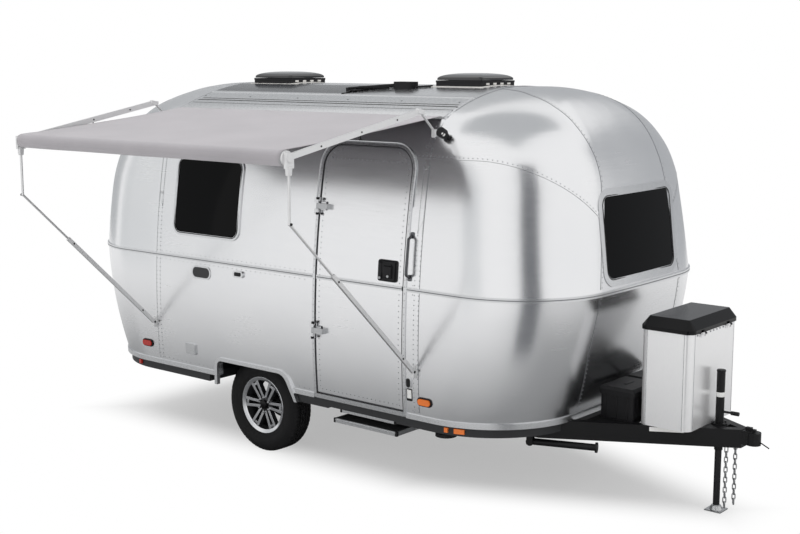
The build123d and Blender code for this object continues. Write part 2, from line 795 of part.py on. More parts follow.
def knuckles(plane, length, fixed_reach, moving_reach, depth):
    """hinge on a plane whose z is the axis: moving leaf toward +x, depth is the leaf's y range"""
    third = length / 3
    y0, y1 = depth

    def span(z0, z1, x0, x1):
        knob = Pos(0, 0, z0) * extrude(Circle(HINGE_R), z1 - z0)
        return knob + box(x0, x1, y0, y1, z0, z1)

    pin = Pos(0, 0, -length / 2) * extrude(Circle(PIN_R), length)
    fixed = pin + span(-length / 2, -third / 2 - 1, -fixed_reach, 0)
    fixed = fixed + span(third / 2 + 1, length / 2, -fixed_reach, 0)
    bore = Pos(0, 0, -length / 2) * extrude(Circle(PIN_R + PIN_FIT), length)
    moving = span(-third / 2 + 1, third / 2 - 1, 0, moving_reach) - bore
    return plane * fixed, plane * moving


def build_door(belt_piece):
    skin = band(DOOR_SKIN_T) & door_prism(0.0)
    core = (middle_form(DOOR_SKIN_T) - MIDDLE_IN) & door_prism(-DOOR_REBATE)
    save("door_leaf", skin + core)
    save("door_belt", belt_piece)
    around = door_prism(DOOR_GAP + DOOR_FRAME_W, SILL_Z - SILL_DROP) - door_prism(DOOR_GAP)
    below = box(DOOR_X0 - DOOR_GAP, DOOR_X1 + DOOR_GAP, -FAR, 0, SILL_Z, DOOR_Z0 - DOOR_GAP)
    frame = (around & band(-DOOR_FRAME_PROUD)) + (below & band(-THRESHOLD_PROUD))
    fixed_half, moving_half = [], []
    for point in (HINGE_LOW, HINGE_HIGH):
        plane = Plane(origin=point, x_dir=(1, 0, 0), z_dir=HINGE_AXIS)
        fixed, moving = knuckles(plane, HINGE_LEN, HINGE_FIXED_W, HINGE_LEAF_W, HINGE_DEPTH)
        fixed_half.append(fixed - MIDDLE_OUT - frame)
        moving_half.append(moving - MIDDLE_OUT)
    save("door_frame", frame + fixed_half[0] + fixed_half[1])
    save("door_hinge_straps", *moving_half)
    plate = skin_pad(-1, *LATCH_PLATE)
    save("door_latch", plate + skin_pad(-1, *LATCH_PADDLE, sink=LATCH_PLATE[-1]))


def build_grab():
    x = DOOR_X1 + DOOR_GAP + DOOR_FRAME_W + GRAB_IN
    ends, bends, feet = [], [], []
    half_w, half_h, r, proud = GRAB_FOOT
    for z, rise in zip(GRAB_Z, (GRAB_RISE, -GRAB_RISE)):
        ends.append(Vector(x, -half_width(z), z))
        bends.append(Vector(x, -half_width(z) - GRAB_STAND, z + rise))
        feet.append(skin_pad(-1, x - half_w, x + half_w, z - half_h, z + half_h, r, proud))
    path = FilletPolyline(ends[0], bends[0], bends[1], ends[1], radius=GRAB_BEND_R)
    plane = Plane(origin=ends[0], z_dir=path % 0)
    handle = sweep(plane * Circle(GRAB_R), path=path) + feet[0] + feet[1]
    save("grab_handle", handle - middle_form(0.0))


# ---- chassis ------------------------------------------------------------
RAIL_TOP = SILL_Z
RAIL_BOTTOM = RAIL_TOP - RAIL_H
FRAME_SLOPE = atan2(RAIL_Y - FRAME_NOSE_HALF, FRAME_NOSE_X - FRAME_KNEE_X)


def frame_outer_y(x):
    return FRAME_NOSE_HALF + (FRAME_NOSE_X - x) * tan(FRAME_SLOPE)


def frame_inner_y(x):
    return frame_outer_y(x) - RAIL_W / cos(FRAME_SLOPE)


def frame_mid_y(x):
    return (frame_outer_y(x) + frame_inner_y(x)) / 2


def trapezoid(x0, x1, y0, y1, z0, z1):
    """plate symmetric about the centreline, half-widths y0 at x0 and y1 at x1"""
    outline = Polyline((x0, -y0), (x1, -y1), (x1, y1), (x0, y0), close=True)
    return Pos(0, 0, z0) * extrude(make_face(outline), z1 - z0)


def build_frame():
    z0, z1 = RAIL_BOTTOM, RAIL_TOP
    bend = RAIL_W / cos(FRAME_SLOPE)
    start = FRAME_KNEE_X - bend
    frame = box(REAR_RAIL_X, start, -RAIL_Y, -RAIL_Y + RAIL_W, z0, z1)
    frame = frame + box(REAR_RAIL_X, start, RAIL_Y - RAIL_W, RAIL_Y, z0, z1)
    outer = box(start, FRAME_KNEE_X, -RAIL_Y, RAIL_Y, z0, z1)
    outer = outer + trapezoid(FRAME_KNEE_X, FRAME_NOSE_X, RAIL_Y, FRAME_NOSE_HALF, z0, z1)
    tip = FRAME_NOSE_X - (bend - FRAME_NOSE_HALF + FRAME_TIP_HALF) / tan(FRAME_SLOPE)
    inner_x = start + RAIL_W
    frame = frame + (outer - trapezoid(inner_x, tip, frame_inner_y(inner_x), FRAME_TIP_HALF, 0, FAR))
    for x in CROSS_XS:
        frame = frame + box(x, x + CROSS_W, -RAIL_Y + RAIL_W, RAIL_Y - RAIL_W, z0, z1)
    reach = RAIL_Y + REAR_BAR_OVER
    frame = frame + box(REAR_RAIL_X - RAIL_W, REAR_RAIL_X, -reach, reach, z0, z1 - BELLY_DROP)
    plates = ((BATTERY_X0 - TRAY_MARGIN, BATTERY_X1 + TRAY_MARGIN),
              (GAS_X0 + GAS_T, GAS_X1 - GAS_T),
              (JACK_X - JACK_PLATE_HALF, JACK_X + JACK_PLATE_HALF))
    for x0, x1 in plates:
        frame = frame + trapezoid(x0, x1, frame_mid_y(x0), frame_mid_y(x1), z1 - PLATE_T, z1)
    frame = frame - rod((JACK_X, 0, 0), (JACK_X, 0, FAR), JACK_TUBE_R + JACK_HOLE_FIT)
    save("chassis_frame", frame)
    return frame


def build_axle():
    z_mid = RAIL_BOTTOM - AXLE_TUBE / 2
    half = AXLE_TUBE / 2
    arm_y = RAIL_Y + ARM_CLEAR
    axle = box(AXLE_X - half, AXLE_X + half, -arm_y, arm_y, z_mid - half, RAIL_BOTTOM)
    root = Pos(AXLE_X, z_mid) * Circle(ARM_ROOT_R)
    outline = make_hull(root.edges() + (Pos(0, TYRE_R) * Circle(ARM_TIP_R)).edges())
    for sign in (-1, 1):
        y0, y1 = sign * arm_y, sign * (arm_y + ARM_T)
        arm = extrude(Plane(origin=(0, y0, 0), x_dir=(1, 0, 0), z_dir=(0, -1, 0)) * outline, -sign * ARM_T)
        plate = disc(0, y1, TYRE_R, DRUM_R - DRUM_FIT, y1 + sign * BACKPLATE_T)
        spindle = disc(0, y1, TYRE_R, SPINDLE_R, sign * (TYRE_OUT_Y - SPINDLE_END))
        axle = axle + arm + plate + spindle
    save("axle_beam", axle)


WHEEL_IN_Y = TYRE_OUT_Y - TYRE_W


def wheel_plane(sign):
    """local z runs outward from the wheel's inner side"""
    return Plane(origin=(0, sign * WHEEL_IN_Y, TYRE_R), x_dir=(1, 0, 0), z_dir=(0, sign, 0))


def revolved(edges):
    face = Plane.XZ * make_face(edges)
    return revolve(face, Axis.Z)


def rim_section():
    """barrel of the rim: radius and distance from the tyre's inner side, round its section"""
    near, far = RIM_EDGE, TYRE_W - RIM_EDGE
    well = RIM_R - RIM_WELL_DEPTH
    outside = [(RIM_FLANGE_R, near), (RIM_FLANGE_R, near + RIM_LIP_W), (RIM_R, near + RIM_SEAT_W),
               (well, near + RIM_WELL_IN), (well, far - RIM_WELL_OUT), (RIM_R, far - RIM_SEAT_W),
               (RIM_FLANGE_R, far - RIM_LIP_W), (RIM_FLANGE_R, far)]
    inside = [(RIM_FLANGE_R - RIM_WALL, far), (RIM_R - RIM_WALL, far - RIM_SEAT_W),
              (well - RIM_WALL, far - RIM_WELL_OUT), (well - RIM_WALL, near + RIM_WELL_IN),
              (RIM_R - RIM_WALL, near + RIM_SEAT_W), (RIM_FLANGE_R - RIM_WALL, near)]
    return Polyline(*outside, *inside, close=True)


def tyre_section():
    """section of the tyre, with a groove round it for the rim's lip"""
    w, far = TYRE_W, TYRE_W - RIM_EDGE
    bead, seat = RIM_R + BEAD_FIT, RIM_FLANGE_R + BEAD_FIT
    top, blend, shoulder = TYRE_TREAD_IN, TYRE_BLEND_W, TYRE_SHOULDER_W
    lip_in, lip_out = RIM_LIP_W + CLEAR, -2 * CLEAR
    foot = RIM_SEAT_W + CLEAR
    return [Line((bead, RIM_EDGE + foot), (seat, RIM_EDGE + lip_in)),
            Line((seat, RIM_EDGE + lip_in), (seat, RIM_EDGE + lip_out)),
            ThreePointArc((seat, RIM_EDGE + lip_out), (TYRE_WAIST_R, 0.0), (TYRE_SHOULDER_R, shoulder)),
            ThreePointArc((TYRE_SHOULDER_R, shoulder), (TYRE_BLEND_R, blend), (TYRE_R, top)),
            Line((TYRE_R, top), (TYRE_R, w - top)),
            ThreePointArc((TYRE_R, w - top), (TYRE_BLEND_R, w - blend), (TYRE_SHOULDER_R, w - shoulder)),
            ThreePointArc((TYRE_SHOULDER_R, w - shoulder), (TYRE_WAIST_R, w), (seat, far - lip_out)),
            Line((seat, far - lip_out), (seat, far - lip_in)),
            Line((seat, far - lip_in), (bead, far - foot)),
            Line((bead, far - foot), (bead, RIM_EDGE + foot))]


def build_wheels():
    face = TYRE_W - RIM_EDGE - RIM_FACE_IN
    hub_in = HUB_IN_Y - WHEEL_IN_Y
    rim = revolved(rim_section())
    hub_out = face - HUB_FACE_IN
    rim = rim + round_bar(DRUM_R, hub_in, -DRUM_GAP)
    rim = rim + round_bar(HUB_R, hub_in, hub_out)
    rim = rim + round_bar(HUB_FACE_R, hub_out - HUB_FACE_T, hub_out)
    rim = rim + round_bar(HUB_CAP_R, hub_out, face + HUB_CAP_OUT)
    for i in range(RIM_SPOKES):
        for side in (-1, 1):
            at = Pos(SPOKE_MID_R, side * SPOKE_HALF_GAP, face - SPOKE_IN - SPOKE_T / 2)
            spoke = at * Rot(0, 0, side * SPOKE_SPLAY) * Box(SPOKE_LEN, SPOKE_W, SPOKE_T)
            rim = rim + Rot(0, 0, 360.0 / RIM_SPOKES * i) * spoke
    bore_end = TYRE_W - SPINDLE_END + SPINDLE_ROOM
    rim = rim - round_bar(SPINDLE_R + SPINDLE_FIT, hub_in - SPINDLE_ROOM, bore_end)
    tyre = revolved(tyre_section())
    for sign, side in ((-1, "curb"), (1, "street")):
        save("rim_" + side, wheel_plane(sign) * rim)
        save("tyre_" + side, wheel_plane(sign) * tyre)


# ---- awning -------------------------------------------------------------
def surface(y):
    """height of the skin at a distance from the centreline, above the shoulder's start"""
    arc = SIDE[1] if y > SIDE[1].at(SIDE[1].a1)[0] else SIDE[2]
    return arc.z + sqrt(arc.r ** 2 - (y - arc.u) ** 2)


def build_awning():
    x0, x1 = -SEAM_REAR + SEAM_GAP, SEAM_FRONT - SEAM_GAP
    low, high = -RAIL_LOW_Y, -RAIL_HIGH_Y
    rail_low = band(-AWNING_RAIL_H, (x0, x1)) & box(x0, x1, -low - AWNING_RAIL_W, -low, SHOULDER_Z, FAR)
    inner = band(-AWNING_RAIL_H * AWNING_RAIL_SHARE, (x0, x1))
    save("awning_rails", rail_low, inner & box(x0, x1, -high, -high + AWNING_RAIL_W, SHOULDER_Z, FAR))

    in0, in1 = AWNING_X0 + HEAD_T / 2, AWNING_X1 - HEAD_T / 2
    core = rod((in0, ROLLER_Y, ROLLER_Z), (in1, ROLLER_Y, ROLLER_Z), ROLLER_CORE_R)
    flange_r = ROLLER_R - FABRIC_T
    for x in (in0, in1 - CORE_FLANGE_T):
        core = core + rod((x, ROLLER_Y, ROLLER_Z), (x + CORE_FLANGE_T, ROLLER_Y, ROLLER_Z), flange_r)
    save("awning_roller", core)

    cloth0, cloth1 = in0 + CORE_FLANGE_T + CLEAR, in1 - CORE_FLANGE_T - CLEAR
    roll = rod((cloth0, ROLLER_Y, ROLLER_Z), (cloth1, ROLLER_Y, ROLLER_Z), ROLLER_R)
    roll = roll - rod((in0, ROLLER_Y, ROLLER_Z), (in1, ROLLER_Y, ROLLER_Z), ROLLER_CORE_R + CLEAR)
    rail_y = low + AWNING_RAIL_W / 2
    rail_z = surface(rail_y) + AWNING_RAIL_H * AWNING_EDGE_SHARE
    top_z = ROLLER_Z + ROLLER_R
    strip = Polyline((ROLLER_Y, top_z), (-rail_y, rail_z), (-rail_y, rail_z - FABRIC_T),
                     (ROLLER_Y, top_z - FABRIC_T), close=True)
    sheet = Pos(cloth0, 0, 0) * extrude(Plane.YZ * make_face(strip), cloth1 - cloth0)
    fabric = (roll + sheet) - middle_form(-AWNING_RAIL_H, AWNING_X0, AWNING_X1) - rail_low
    save("awning_fabric", fabric.solids().sort_by(SortBy.VOLUME)[-1])

    save("awning_arm_rear", awning_arm(AWNING_X0))
    save("awning_arm_front", awning_arm(AWNING_X1))


def wall_pad(x, z, half_w, below, above, out):
    """block on the curb wall, from inside the skin to the distance out of it"""
    y = -half_width(z)
    return box(x - half_w, x + half_w, y - out, y + ARM_PAD_IN, z - below, z + above)


def awning_arm(x):
    """one side of the awning's folding frame, in a plane across the body"""
    across = (1, 0, 0)
    front, back, below, above = HEAD_BOX
    half = HEAD_T / 2
    head = box(x - half, x + half, ROLLER_Y - front, ROLLER_Y + back, ROLLER_Z - below, ROLLER_Z + above)
    rafter_end = Vector(x, RAFTER_END_Y, RAFTER_END_Z)
    rafter = bar((x, ROLLER_Y, ROLLER_Z + RAFTER_UP), rafter_end, RAFTER_W, RAFTER_H, across)
    strut = rod(rafter_end, (x, -half_width(STRUT_WALL_Z), STRUT_WALL_Z), STRUT_R)
    strut_pad = wall_pad(x, STRUT_WALL_Z, *STRUT_PAD, ARM_PAD_OUT)
    knee = Vector(x, ROLLER_Y, KNEE_Z)
    foot = Vector(x, -half_width(ARM_FOOT_Z) - FOOT_STAND, ARM_FOOT_Z)
    mid = knee + (foot - knee) * ARM_THIN_SHARE
    lap = knee + (foot - knee) * (ARM_THIN_SHARE - ARM_LAP_SHARE)
    post = rod((x, ROLLER_Y, ROLLER_Z - below + POST_LAP), knee, POST_R)
    elbow = Pos(*knee) * Sphere(KNEE_R)
    thin = rod(knee, mid, ARM_THIN_R)
    thick = bar(lap, foot, ARM_THICK_W, ARM_THICK_H, across)
    pad = wall_pad(x, ARM_FOOT_Z, *FOOT_PAD, FOOT_PAD_OUT)
    arm = head + rafter + strut + strut_pad + post + elbow + thin + thick + pad
    margin = 2 * HEAD_T
    return cut_all(arm - middle_form(-SEAT, x - margin, x + margin), CAPS_OUT.values())


# ---- roof ---------------------------------------------------------------
VENT_NAMES = ("rear", "front")
VENT_HINGE_Z = VENT_BASE_TOP + VENT_HINGE_RISE


def vent_base(x, fixed):
    half, hole = VENT_SIDE / 2, VENT_SIDE / 2 - VENT_WALL
    base = box(x - half, x + half, -half, half, SHOULDER_Z, VENT_BASE_TOP)
    base = base - box(x - hole, x + hole, -hole, hole, 0, FAR) - middle_form(0.0)
    y0, y1 = VENT_LUG_Y
    z0, z1 = VENT_HINGE_Z - VENT_LUG_H, VENT_HINGE_Z - VENT_LUG_DROP
    lug = box(x - half - VENT_HINGE_OUT, x - half, y0, y1, z0, z1)
    return base + (lug + mirror_y(lug) + fixed)


def vent_lid(x, moving, bore):
    half = VENT_SIDE / 2
    over, inner = 2 * (half + VENT_LID_OVER), 2 * (half + VENT_LID_OVER - VENT_LID_T)
    low = VENT_BASE_TOP + VENT_LID_GAP
    side = Pos(x, 0, low) * extrude(RectangleRounded(over, over, VENT_LID_R), VENT_LID_SIDE_H)
    crown = Pos(x, 0, low + VENT_LID_SIDE_H) * extrude(
        RectangleRounded(over, over, VENT_LID_R), VENT_LID_H - VENT_LID_SIDE_H, taper=VENT_LID_SLOPE)
    hollow = Pos(x, 0, low - VENT_LID_GAP) * extrude(
        RectangleRounded(inner, inner, VENT_LID_R - VENT_LID_OVER - VENT_LID_GAP / 2), VENT_LID_SIDE_H)
    room = VENT_HINGE_LEN / 2 + VENT_LID_OVER
    slot = box(x - 2 * half, x - half + 4 * CLEAR, -room, room, 0, VENT_HINGE_Z + HINGE_R + 3 * CLEAR)
    z0, z1 = VENT_HINGE_Z - VENT_LID_OVER, VENT_HINGE_Z + HINGE_R + 4 * CLEAR
    x0, x1 = x - half - 2 * CLEAR, x - half + VENT_HINGE_OUT
    tab = moving + box(x0, x1, -VENT_TAB_HALF, VENT_TAB_HALF, z0, z1)
    return (side + crown) - hollow - slot + tab - bore


def build_roof():
    bases = []
    for x, name in zip(VENT_XS, VENT_NAMES):
        hinge_x = x - VENT_SIDE / 2 - VENT_HINGE_OUT
        plane = Plane(origin=(hinge_x, 0, VENT_HINGE_Z), x_dir=(1, 0, 0), z_dir=(0, 1, 0))
        fixed, moving = knuckles(plane, VENT_HINGE_LEN, *VENT_KNUCKLE)
        bases.append(vent_base(x, fixed))
        bore = plane * round_bar(PIN_R + PIN_FIT, -VENT_HINGE_LEN, VENT_HINGE_LEN)
        save("vent_lid_" + name, vent_lid(x, moving, bore))
    save("vent_bases", *bases)
    save("solar_panel", box(*SOLAR, SHOULDER_Z, FAR) & band(-SOLAR_T))

    half_x, half_y = ANTENNA_HALF
    z = surface(-ANTENNA_Y)
    block = extrude(RectangleRounded(2 * half_x, 2 * half_y, ANTENNA_CORNER_R), half_y + ANTENNA_TALL)
    antenna = Pos(ANTENNA_X, ANTENNA_Y, z - half_y) * block
    tips = []
    for (x, y, up), side, r in ((MAST_TIP, -1, MAST_R), (STAY_TIP, 1, STAY_R)):
        tips.append(Vector(x, y, surface(-y) + up))
        root = (ANTENNA_X - half_x / 2, ANTENNA_Y + side * half_y / 2, z + MAST_Z)
        antenna = antenna + rod(root, tips[-1], r)
    half, back, below, above = MAST_REST
    x, y, z = tips[0]
    antenna = antenna + box(x - half, x + half, y - half, y + back, z - below, z + above)
    save("roof_antenna", antenna - middle_form(0.0))


# ---- hitch end ----------------------------------------------------------
def build_coupler():
    z_mid = RAIL_TOP - RAIL_H / 2
    low, top = z_mid - COUPLER_LOW, RAIL_TOP - COUPLER_TOP
    nose_r = FRAME_NOSE_HALF + COUPLER_NOSE_OVER
    body = box(FRAME_NOSE_X, BALL_X, -FRAME_NOSE_HALF, FRAME_NOSE_HALF, low, top)
    body = body + rod((BALL_X, 0, low), (BALL_X, 0, RAIL_TOP - COUPLER_NOSE_TOP), nose_r)
    socket = rod((BALL_X, 0, 0), (BALL_X, 0, z_mid), BALL_R + BALL_FIT)
    save("hitch_coupler", body - socket - Pos(BALL_X, 0, z_mid) * Sphere(BALL_R + BALL_FIT))
    half, tail_x = LATCH_HALF_W, BALL_X + COUPLER_NOSE_TOP
    latch = box(FRAME_NOSE_X + LATCH_HALF_W, tail_x, -half, half, top, top + LATCH_H)
    latch = latch - box(BALL_X - half, FAR, -FAR, FAR, RAIL_TOP + COUPLER_NOSE_OVER, FAR)
    z_in, z_out = LEVER_Z
    lever = rod((BALL_X, 0, z_mid + z_in), (BALL_X + nose_r + LEVER_REACH, 0, z_mid + z_out), LEVER_R)
    save("hitch_latch", latch, lever - rod((BALL_X, 0, 0), (BALL_X, 0, FAR), nose_r))


def build_jack():
    tube = rod((JACK_X, 0, JACK_LOW_Z), (JACK_X, 0, JACK_TOP_Z), JACK_TUBE_R)
    tube = tube + rod((JACK_X, 0, RAIL_TOP), (JACK_X, 0, RAIL_TOP + JACK_FLANGE_T), JACK_FLANGE_R)
    tube = tube - rod((JACK_X, 0, 0), (JACK_X, 0, JACK_TOP_Z - JACK_CAP_T), JACK_LEG_R + JACK_FIT)
    grip0, grip1 = GRIP_SPAN
    mid_wall = (JACK_LEG_R + JACK_TUBE_R) / 2
    crank = rod((JACK_X + mid_wall, 0, CRANK_Z), (JACK_X + CRANK_REACH, 0, CRANK_Z), CRANK_R)
    grip = rod((JACK_X + grip0, 0, CRANK_Z), (JACK_X + grip1, 0, CRANK_Z), GRIP_R)
    save("jack_tube", tube + crank + grip)
    half = JACK_FOOT / 2
    foot = box(JACK_X - half, JACK_X + half, -half, half, 0, JACK_FOOT_T)
    boss = extrude(Circle(JACK_FOOT_BOSS_R), JACK_FOOT_BOSS_H, taper=JACK_FOOT_SLOPE)
    leg = rod((JACK_X, 0, JACK_LEG_LOW_Z), (JACK_X, 0, JACK_LEG_TOP_Z), JACK_LEG_R)
    save("jack_leg", leg + foot + Pos(JACK_X, 0, JACK_FOOT_T) * boss)


def build_chains():
    """two hanging safety chains, each link turned a quarter from the last"""
    outer = make_face(oct_outline(LINK_LEN / 2, LINK_W / 2))
    inner = make_face(oct_outline(LINK_LEN / 2 - LINK_WIRE, LINK_W / 2 - LINK_WIRE))
    link = extrude(outer - inner, LINK_WIRE / 2, both=True)
    pitch = LINK_LEN - 2 * LINK_WIRE - LINK_PLAY
    top = RAIL_BOTTOM - LINK_LEN / 2
    links = []
    for sign in (-1, 1):
        for i in range(CHAIN_LINKS):
            turn = Rot(0, 0, 90.0 * (i % 2) + 45.0) * Rot(0, 90, 0)
            links.append(Pos(CHAIN_X + sign * CHAIN_STAGGER, sign * CHAIN_Y, top - i * pitch) * turn * link)
    save("safety_chains", *links)


def oct_outline(a, b):
    """long octagon: half-length a, half-width b"""
    c = b * LINK_CORNER_SHARE
    return Polyline((a - c, -b), (a, -b + c), (a, b - c), (a - c, b), (-a + c, b), (-a, b - c), (-a, -b + c),
                    (-a + c, -b), close=True)


def build_bottles(xc):
    bottles = []
    foot_r, foot_h = BOTTLE_FOOT
    collar_r, collar_in, collar_h = BOTTLE_COLLAR
    valve_r, valve_h = BOTTLE_VALVE
    dome_z = foot_h + BOTTLE_SIDE_H
    top = dome_z + BOTTLE_DOME_H
    for sign in (-1, 1):
        bottle = round_bar(foot_r, 0, foot_h) + round_bar(BOTTLE_R, foot_h, dome_z)
        bottle = bottle + Pos(0, 0, dome_z) * extrude(Circle(BOTTLE_R), BOTTLE_DOME_H, taper=45)
        collar = round_bar(collar_r, top, top + collar_h) - round_bar(collar_in, top, top + collar_h)
        bottle = bottle + collar
        bottle = bottle + round_bar(valve_r, top, top + valve_h)
        bottles.append(Pos(xc, sign * BOTTLE_Y, RAIL_TOP) * bottle)
    save("gas_bottles", *bottles)


def gas_lid(w, d, r, thick):
    """tray turned over with sloping shoulders, thinner inside by thick"""
    low, high = GAS_LID_SIDE_H, GAS_LID_H - thick
    shape = extrude(RectangleRounded(w - 2 * thick, d - 2 * thick, r - thick), low)
    top = RectangleRounded(w - 2 * thick, d - 2 * thick, r - thick)
    return shape + Pos(0, 0, low) * extrude(top, high - low, taper=GAS_LID_SLOPE)


def build_gas():
    x0, x1, y = GAS_X0, GAS_X1, GAS_HALF_Y
    xc = (x0 + x1) / 2
    outline = RectangleRounded(x1 - x0, 2 * y, GAS_CORNER_R)
    bore = RectangleRounded(x1 - x0 - 2 * GAS_T, 2 * (y - GAS_T), GAS_CORNER_R - GAS_T)
    cover = Pos(xc, 0, RAIL_TOP) * extrude(outline - bore, GAS_TOP_Z - RAIL_TOP)
    build_bottles(xc)
    w, d = x1 - x0 + 2 * GAS_LID_LIP, 2 * (y + GAS_LID_LIP)
    base_z = GAS_TOP_Z - GAS_LID_LAP
    tray = gas_lid(w, d, GAS_CORNER_R, 0) - gas_lid(w, d, GAS_CORNER_R, GAS_LID_T)
    lid = Pos(xc, 0, base_z) * tray
    knob = Pos(x0 - GAS_LID_LIP, 0, base_z + GAS_LID_SIDE_H / 2) * Rot(0, -90, 0)
    lid = lid + knob * extrude(Circle(GAS_KNOB_R), GAS_KNOB_LEN)
    axis_x, axis_z = x1 + GAS_LID_LIP + HINGE_R + 2 * CLEAR, base_z - GAS_HINGE_DROP
    third = GAS_HINGE_LEN / 6
    for yc in GAS_HINGE_YS:
        plane = Plane(origin=(axis_x, yc, axis_z), x_dir=(-1, 0, 0), z_dir=(0, -1, 0))
        fixed, moving = knuckles(plane, GAS_HINGE_LEN, CLEAR, CLEAR, (-2 * CLEAR, 2 * CLEAR))
        low, high = axis_z - GAS_HINGE_ARM[0], axis_z + GAS_HINGE_ARM[1]
        for side in (-1, 1):
            y0, y1 = sorted((yc + side * (third + 2 * CLEAR), yc + side * 3 * third))
            fixed = fixed + box(x1 - 2 * CLEAR, axis_x, y0, y1, low, axis_z - GAS_T)
        half, near = third - 2 * CLEAR, x1 + GAS_LID_LIP - 4 * CLEAR
        moving = moving + box(near, axis_x, yc - half, yc + half, axis_z + GAS_T, high)
        cover = cover + (fixed - box(x0, x1, -y, y, 0, FAR))
        lid = lid + (moving - plane * round_bar(PIN_R + PIN_FIT, -GAS_HINGE_LEN, GAS_HINGE_LEN))
    save("gas_cover", cover)
    save("gas_lid", lid)


def build_batteries():
    boxes = []
    w, d = BATTERY_X1 - BATTERY_X0, BATTERY_HALF_Y - BATTERY_GAP / 2
    lid_z = BATTERY_TUB_H + BATTERY_LID_H
    for sign in (-1, 1):
        yc = sign * (BATTERY_GAP / 2 + d / 2)
        tub_w, tub_d = w - 2 * BATTERY_TUB_IN, d - 2 * BATTERY_TUB_IN
        tub = extrude(RectangleRounded(tub_w, tub_d, BATTERY_TUB_R), BATTERY_TUB_H)
        lid = Pos(0, 0, BATTERY_TUB_H) * extrude(RectangleRounded(w, d, BATTERY_LID_R), BATTERY_LID_H)
        crown_h = BATTERY_TOP_Z - RAIL_TOP - lid_z
        crown = extrude(RectangleRounded(w, d, BATTERY_LID_R), crown_h, taper=BATTERY_SLOPE)
        whole = tub + lid + Pos(0, 0, lid_z) * crown
        boxes.append(Pos((BATTERY_X0 + BATTERY_X1) / 2, yc, RAIL_TOP) * whole)
    save("battery_boxes", *boxes)


# ---- stabilisers --------------------------------------------------------
# name, pivot x, pivot side (-1 curb), heading in degrees from +X
STABILISERS = (("front_curb", 2290.0, -1, 20.0),
               ("front_street", 2290.0, 1, -20.0),
               ("rear_curb", -1290.0, -1, 180.0),
               ("rear_street", -1290.0, 1, 180.0))


def stabiliser_leg():
    """folding leg at the origin, pointing along +X, its pivot along Y"""
    shaft = STAB_LEN - STAB_SHOE_T
    leg = rod((0, 0, 0), (shaft, 0, 0), STAB_R)
    leg = leg + rod((0, -STAB_R, 0), (0, STAB_R, 0), STAB_EYE_R)
    leg = leg + rod((shaft, 0, 0), (STAB_LEN, 0, 0), STAB_SHOE_R)
    return leg - rod((0, -2 * STAB_R, 0), (0, 2 * STAB_R, 0), STAB_PIN_R + PIN_FIT)


def stabiliser_lugs():
    """pin and the two plates that hang it under the rail, at the origin"""
    near = STAB_R + STAB_GAP
    far = near + STAB_LUG_T
    lugs = rod((0, -far, 0), (0, far, 0), STAB_PIN_R)
    half, high = STAB_LUG_W / 2, RAIL_BOTTOM - STAB_PIVOT_Z
    for y0, y1 in ((-far, -near), (near, far)):
        lugs = lugs + box(-half, half, y0, y1, -STAB_LUG_DROP, high)
    return lugs


def build_stabilisers():
    brackets = []
    for name, x, side, heading in STABILISERS:
        place = Pos(x, side * (RAIL_Y - RAIL_W / 2), STAB_PIVOT_Z) * Rot(0, 0, heading)
        save("stabiliser_" + name, place * stabiliser_leg())
        brackets.append(place * stabiliser_lugs())
    return brackets


# ---- step ---------------------------------------------------------------
STEP_REACH_Y = STEP_LINK * cos(radians(STEP_REST_DEG))
STEP_DROP = STEP_LINK * sin(radians(STEP_REST_DEG))
STEP_P = (STEP_PIVOT_Y, STEP_PIVOT_Z)
STEP_Q = (STEP_PIVOT_Y + STEP_REACH_Y, STEP_PIVOT_Z - STEP_DROP)
STEP_R2 = (STEP_Q[0] + STEP_REACH_Y, STEP_Q[1] - STEP_DROP)


def side_plate(layer, p, q, r, sign):
    """flat link or arm at a layer outward (+) or inward (-) of the bracket plates"""
    edge = STEP_X0 - layer * STEP_PITCH if sign < 0 else STEP_X1 + layer * STEP_PITCH
    x = edge if sign < 0 else edge - STEP_PLATE
    hull = make_hull((Pos(*p) * Circle(r)).edges() + (Pos(*q) * Circle(r)).edges())
    return extrude(Plane(origin=(x, 0, 0), x_dir=(0, 1, 0), z_dir=(1, 0, 0)) * hull, STEP_PLATE)


def step_pin(point, r, layer0, layer1, sign):
    a = STEP_X0 - layer0 * STEP_PITCH if sign < 0 else STEP_X1 + layer0 * STEP_PITCH
    b = STEP_X0 - layer1 * STEP_PITCH if sign < 0 else STEP_X1 + layer1 * STEP_PITCH
    a = a if sign > 0 else a + STEP_PLATE
    b = b - STEP_PLATE if sign > 0 else b
    return rod((min(a, b), *point), (max(a, b), *point), r)


# name, layer of its side arms, its pin, front edge y, underside z, height of the arm's end above that
TREADS = (("upper", -2, STEP_Q, -1128.0, 503.0, 13.0),
          ("lower", 2, STEP_R2, -1160.0, 429.0, 12.0))


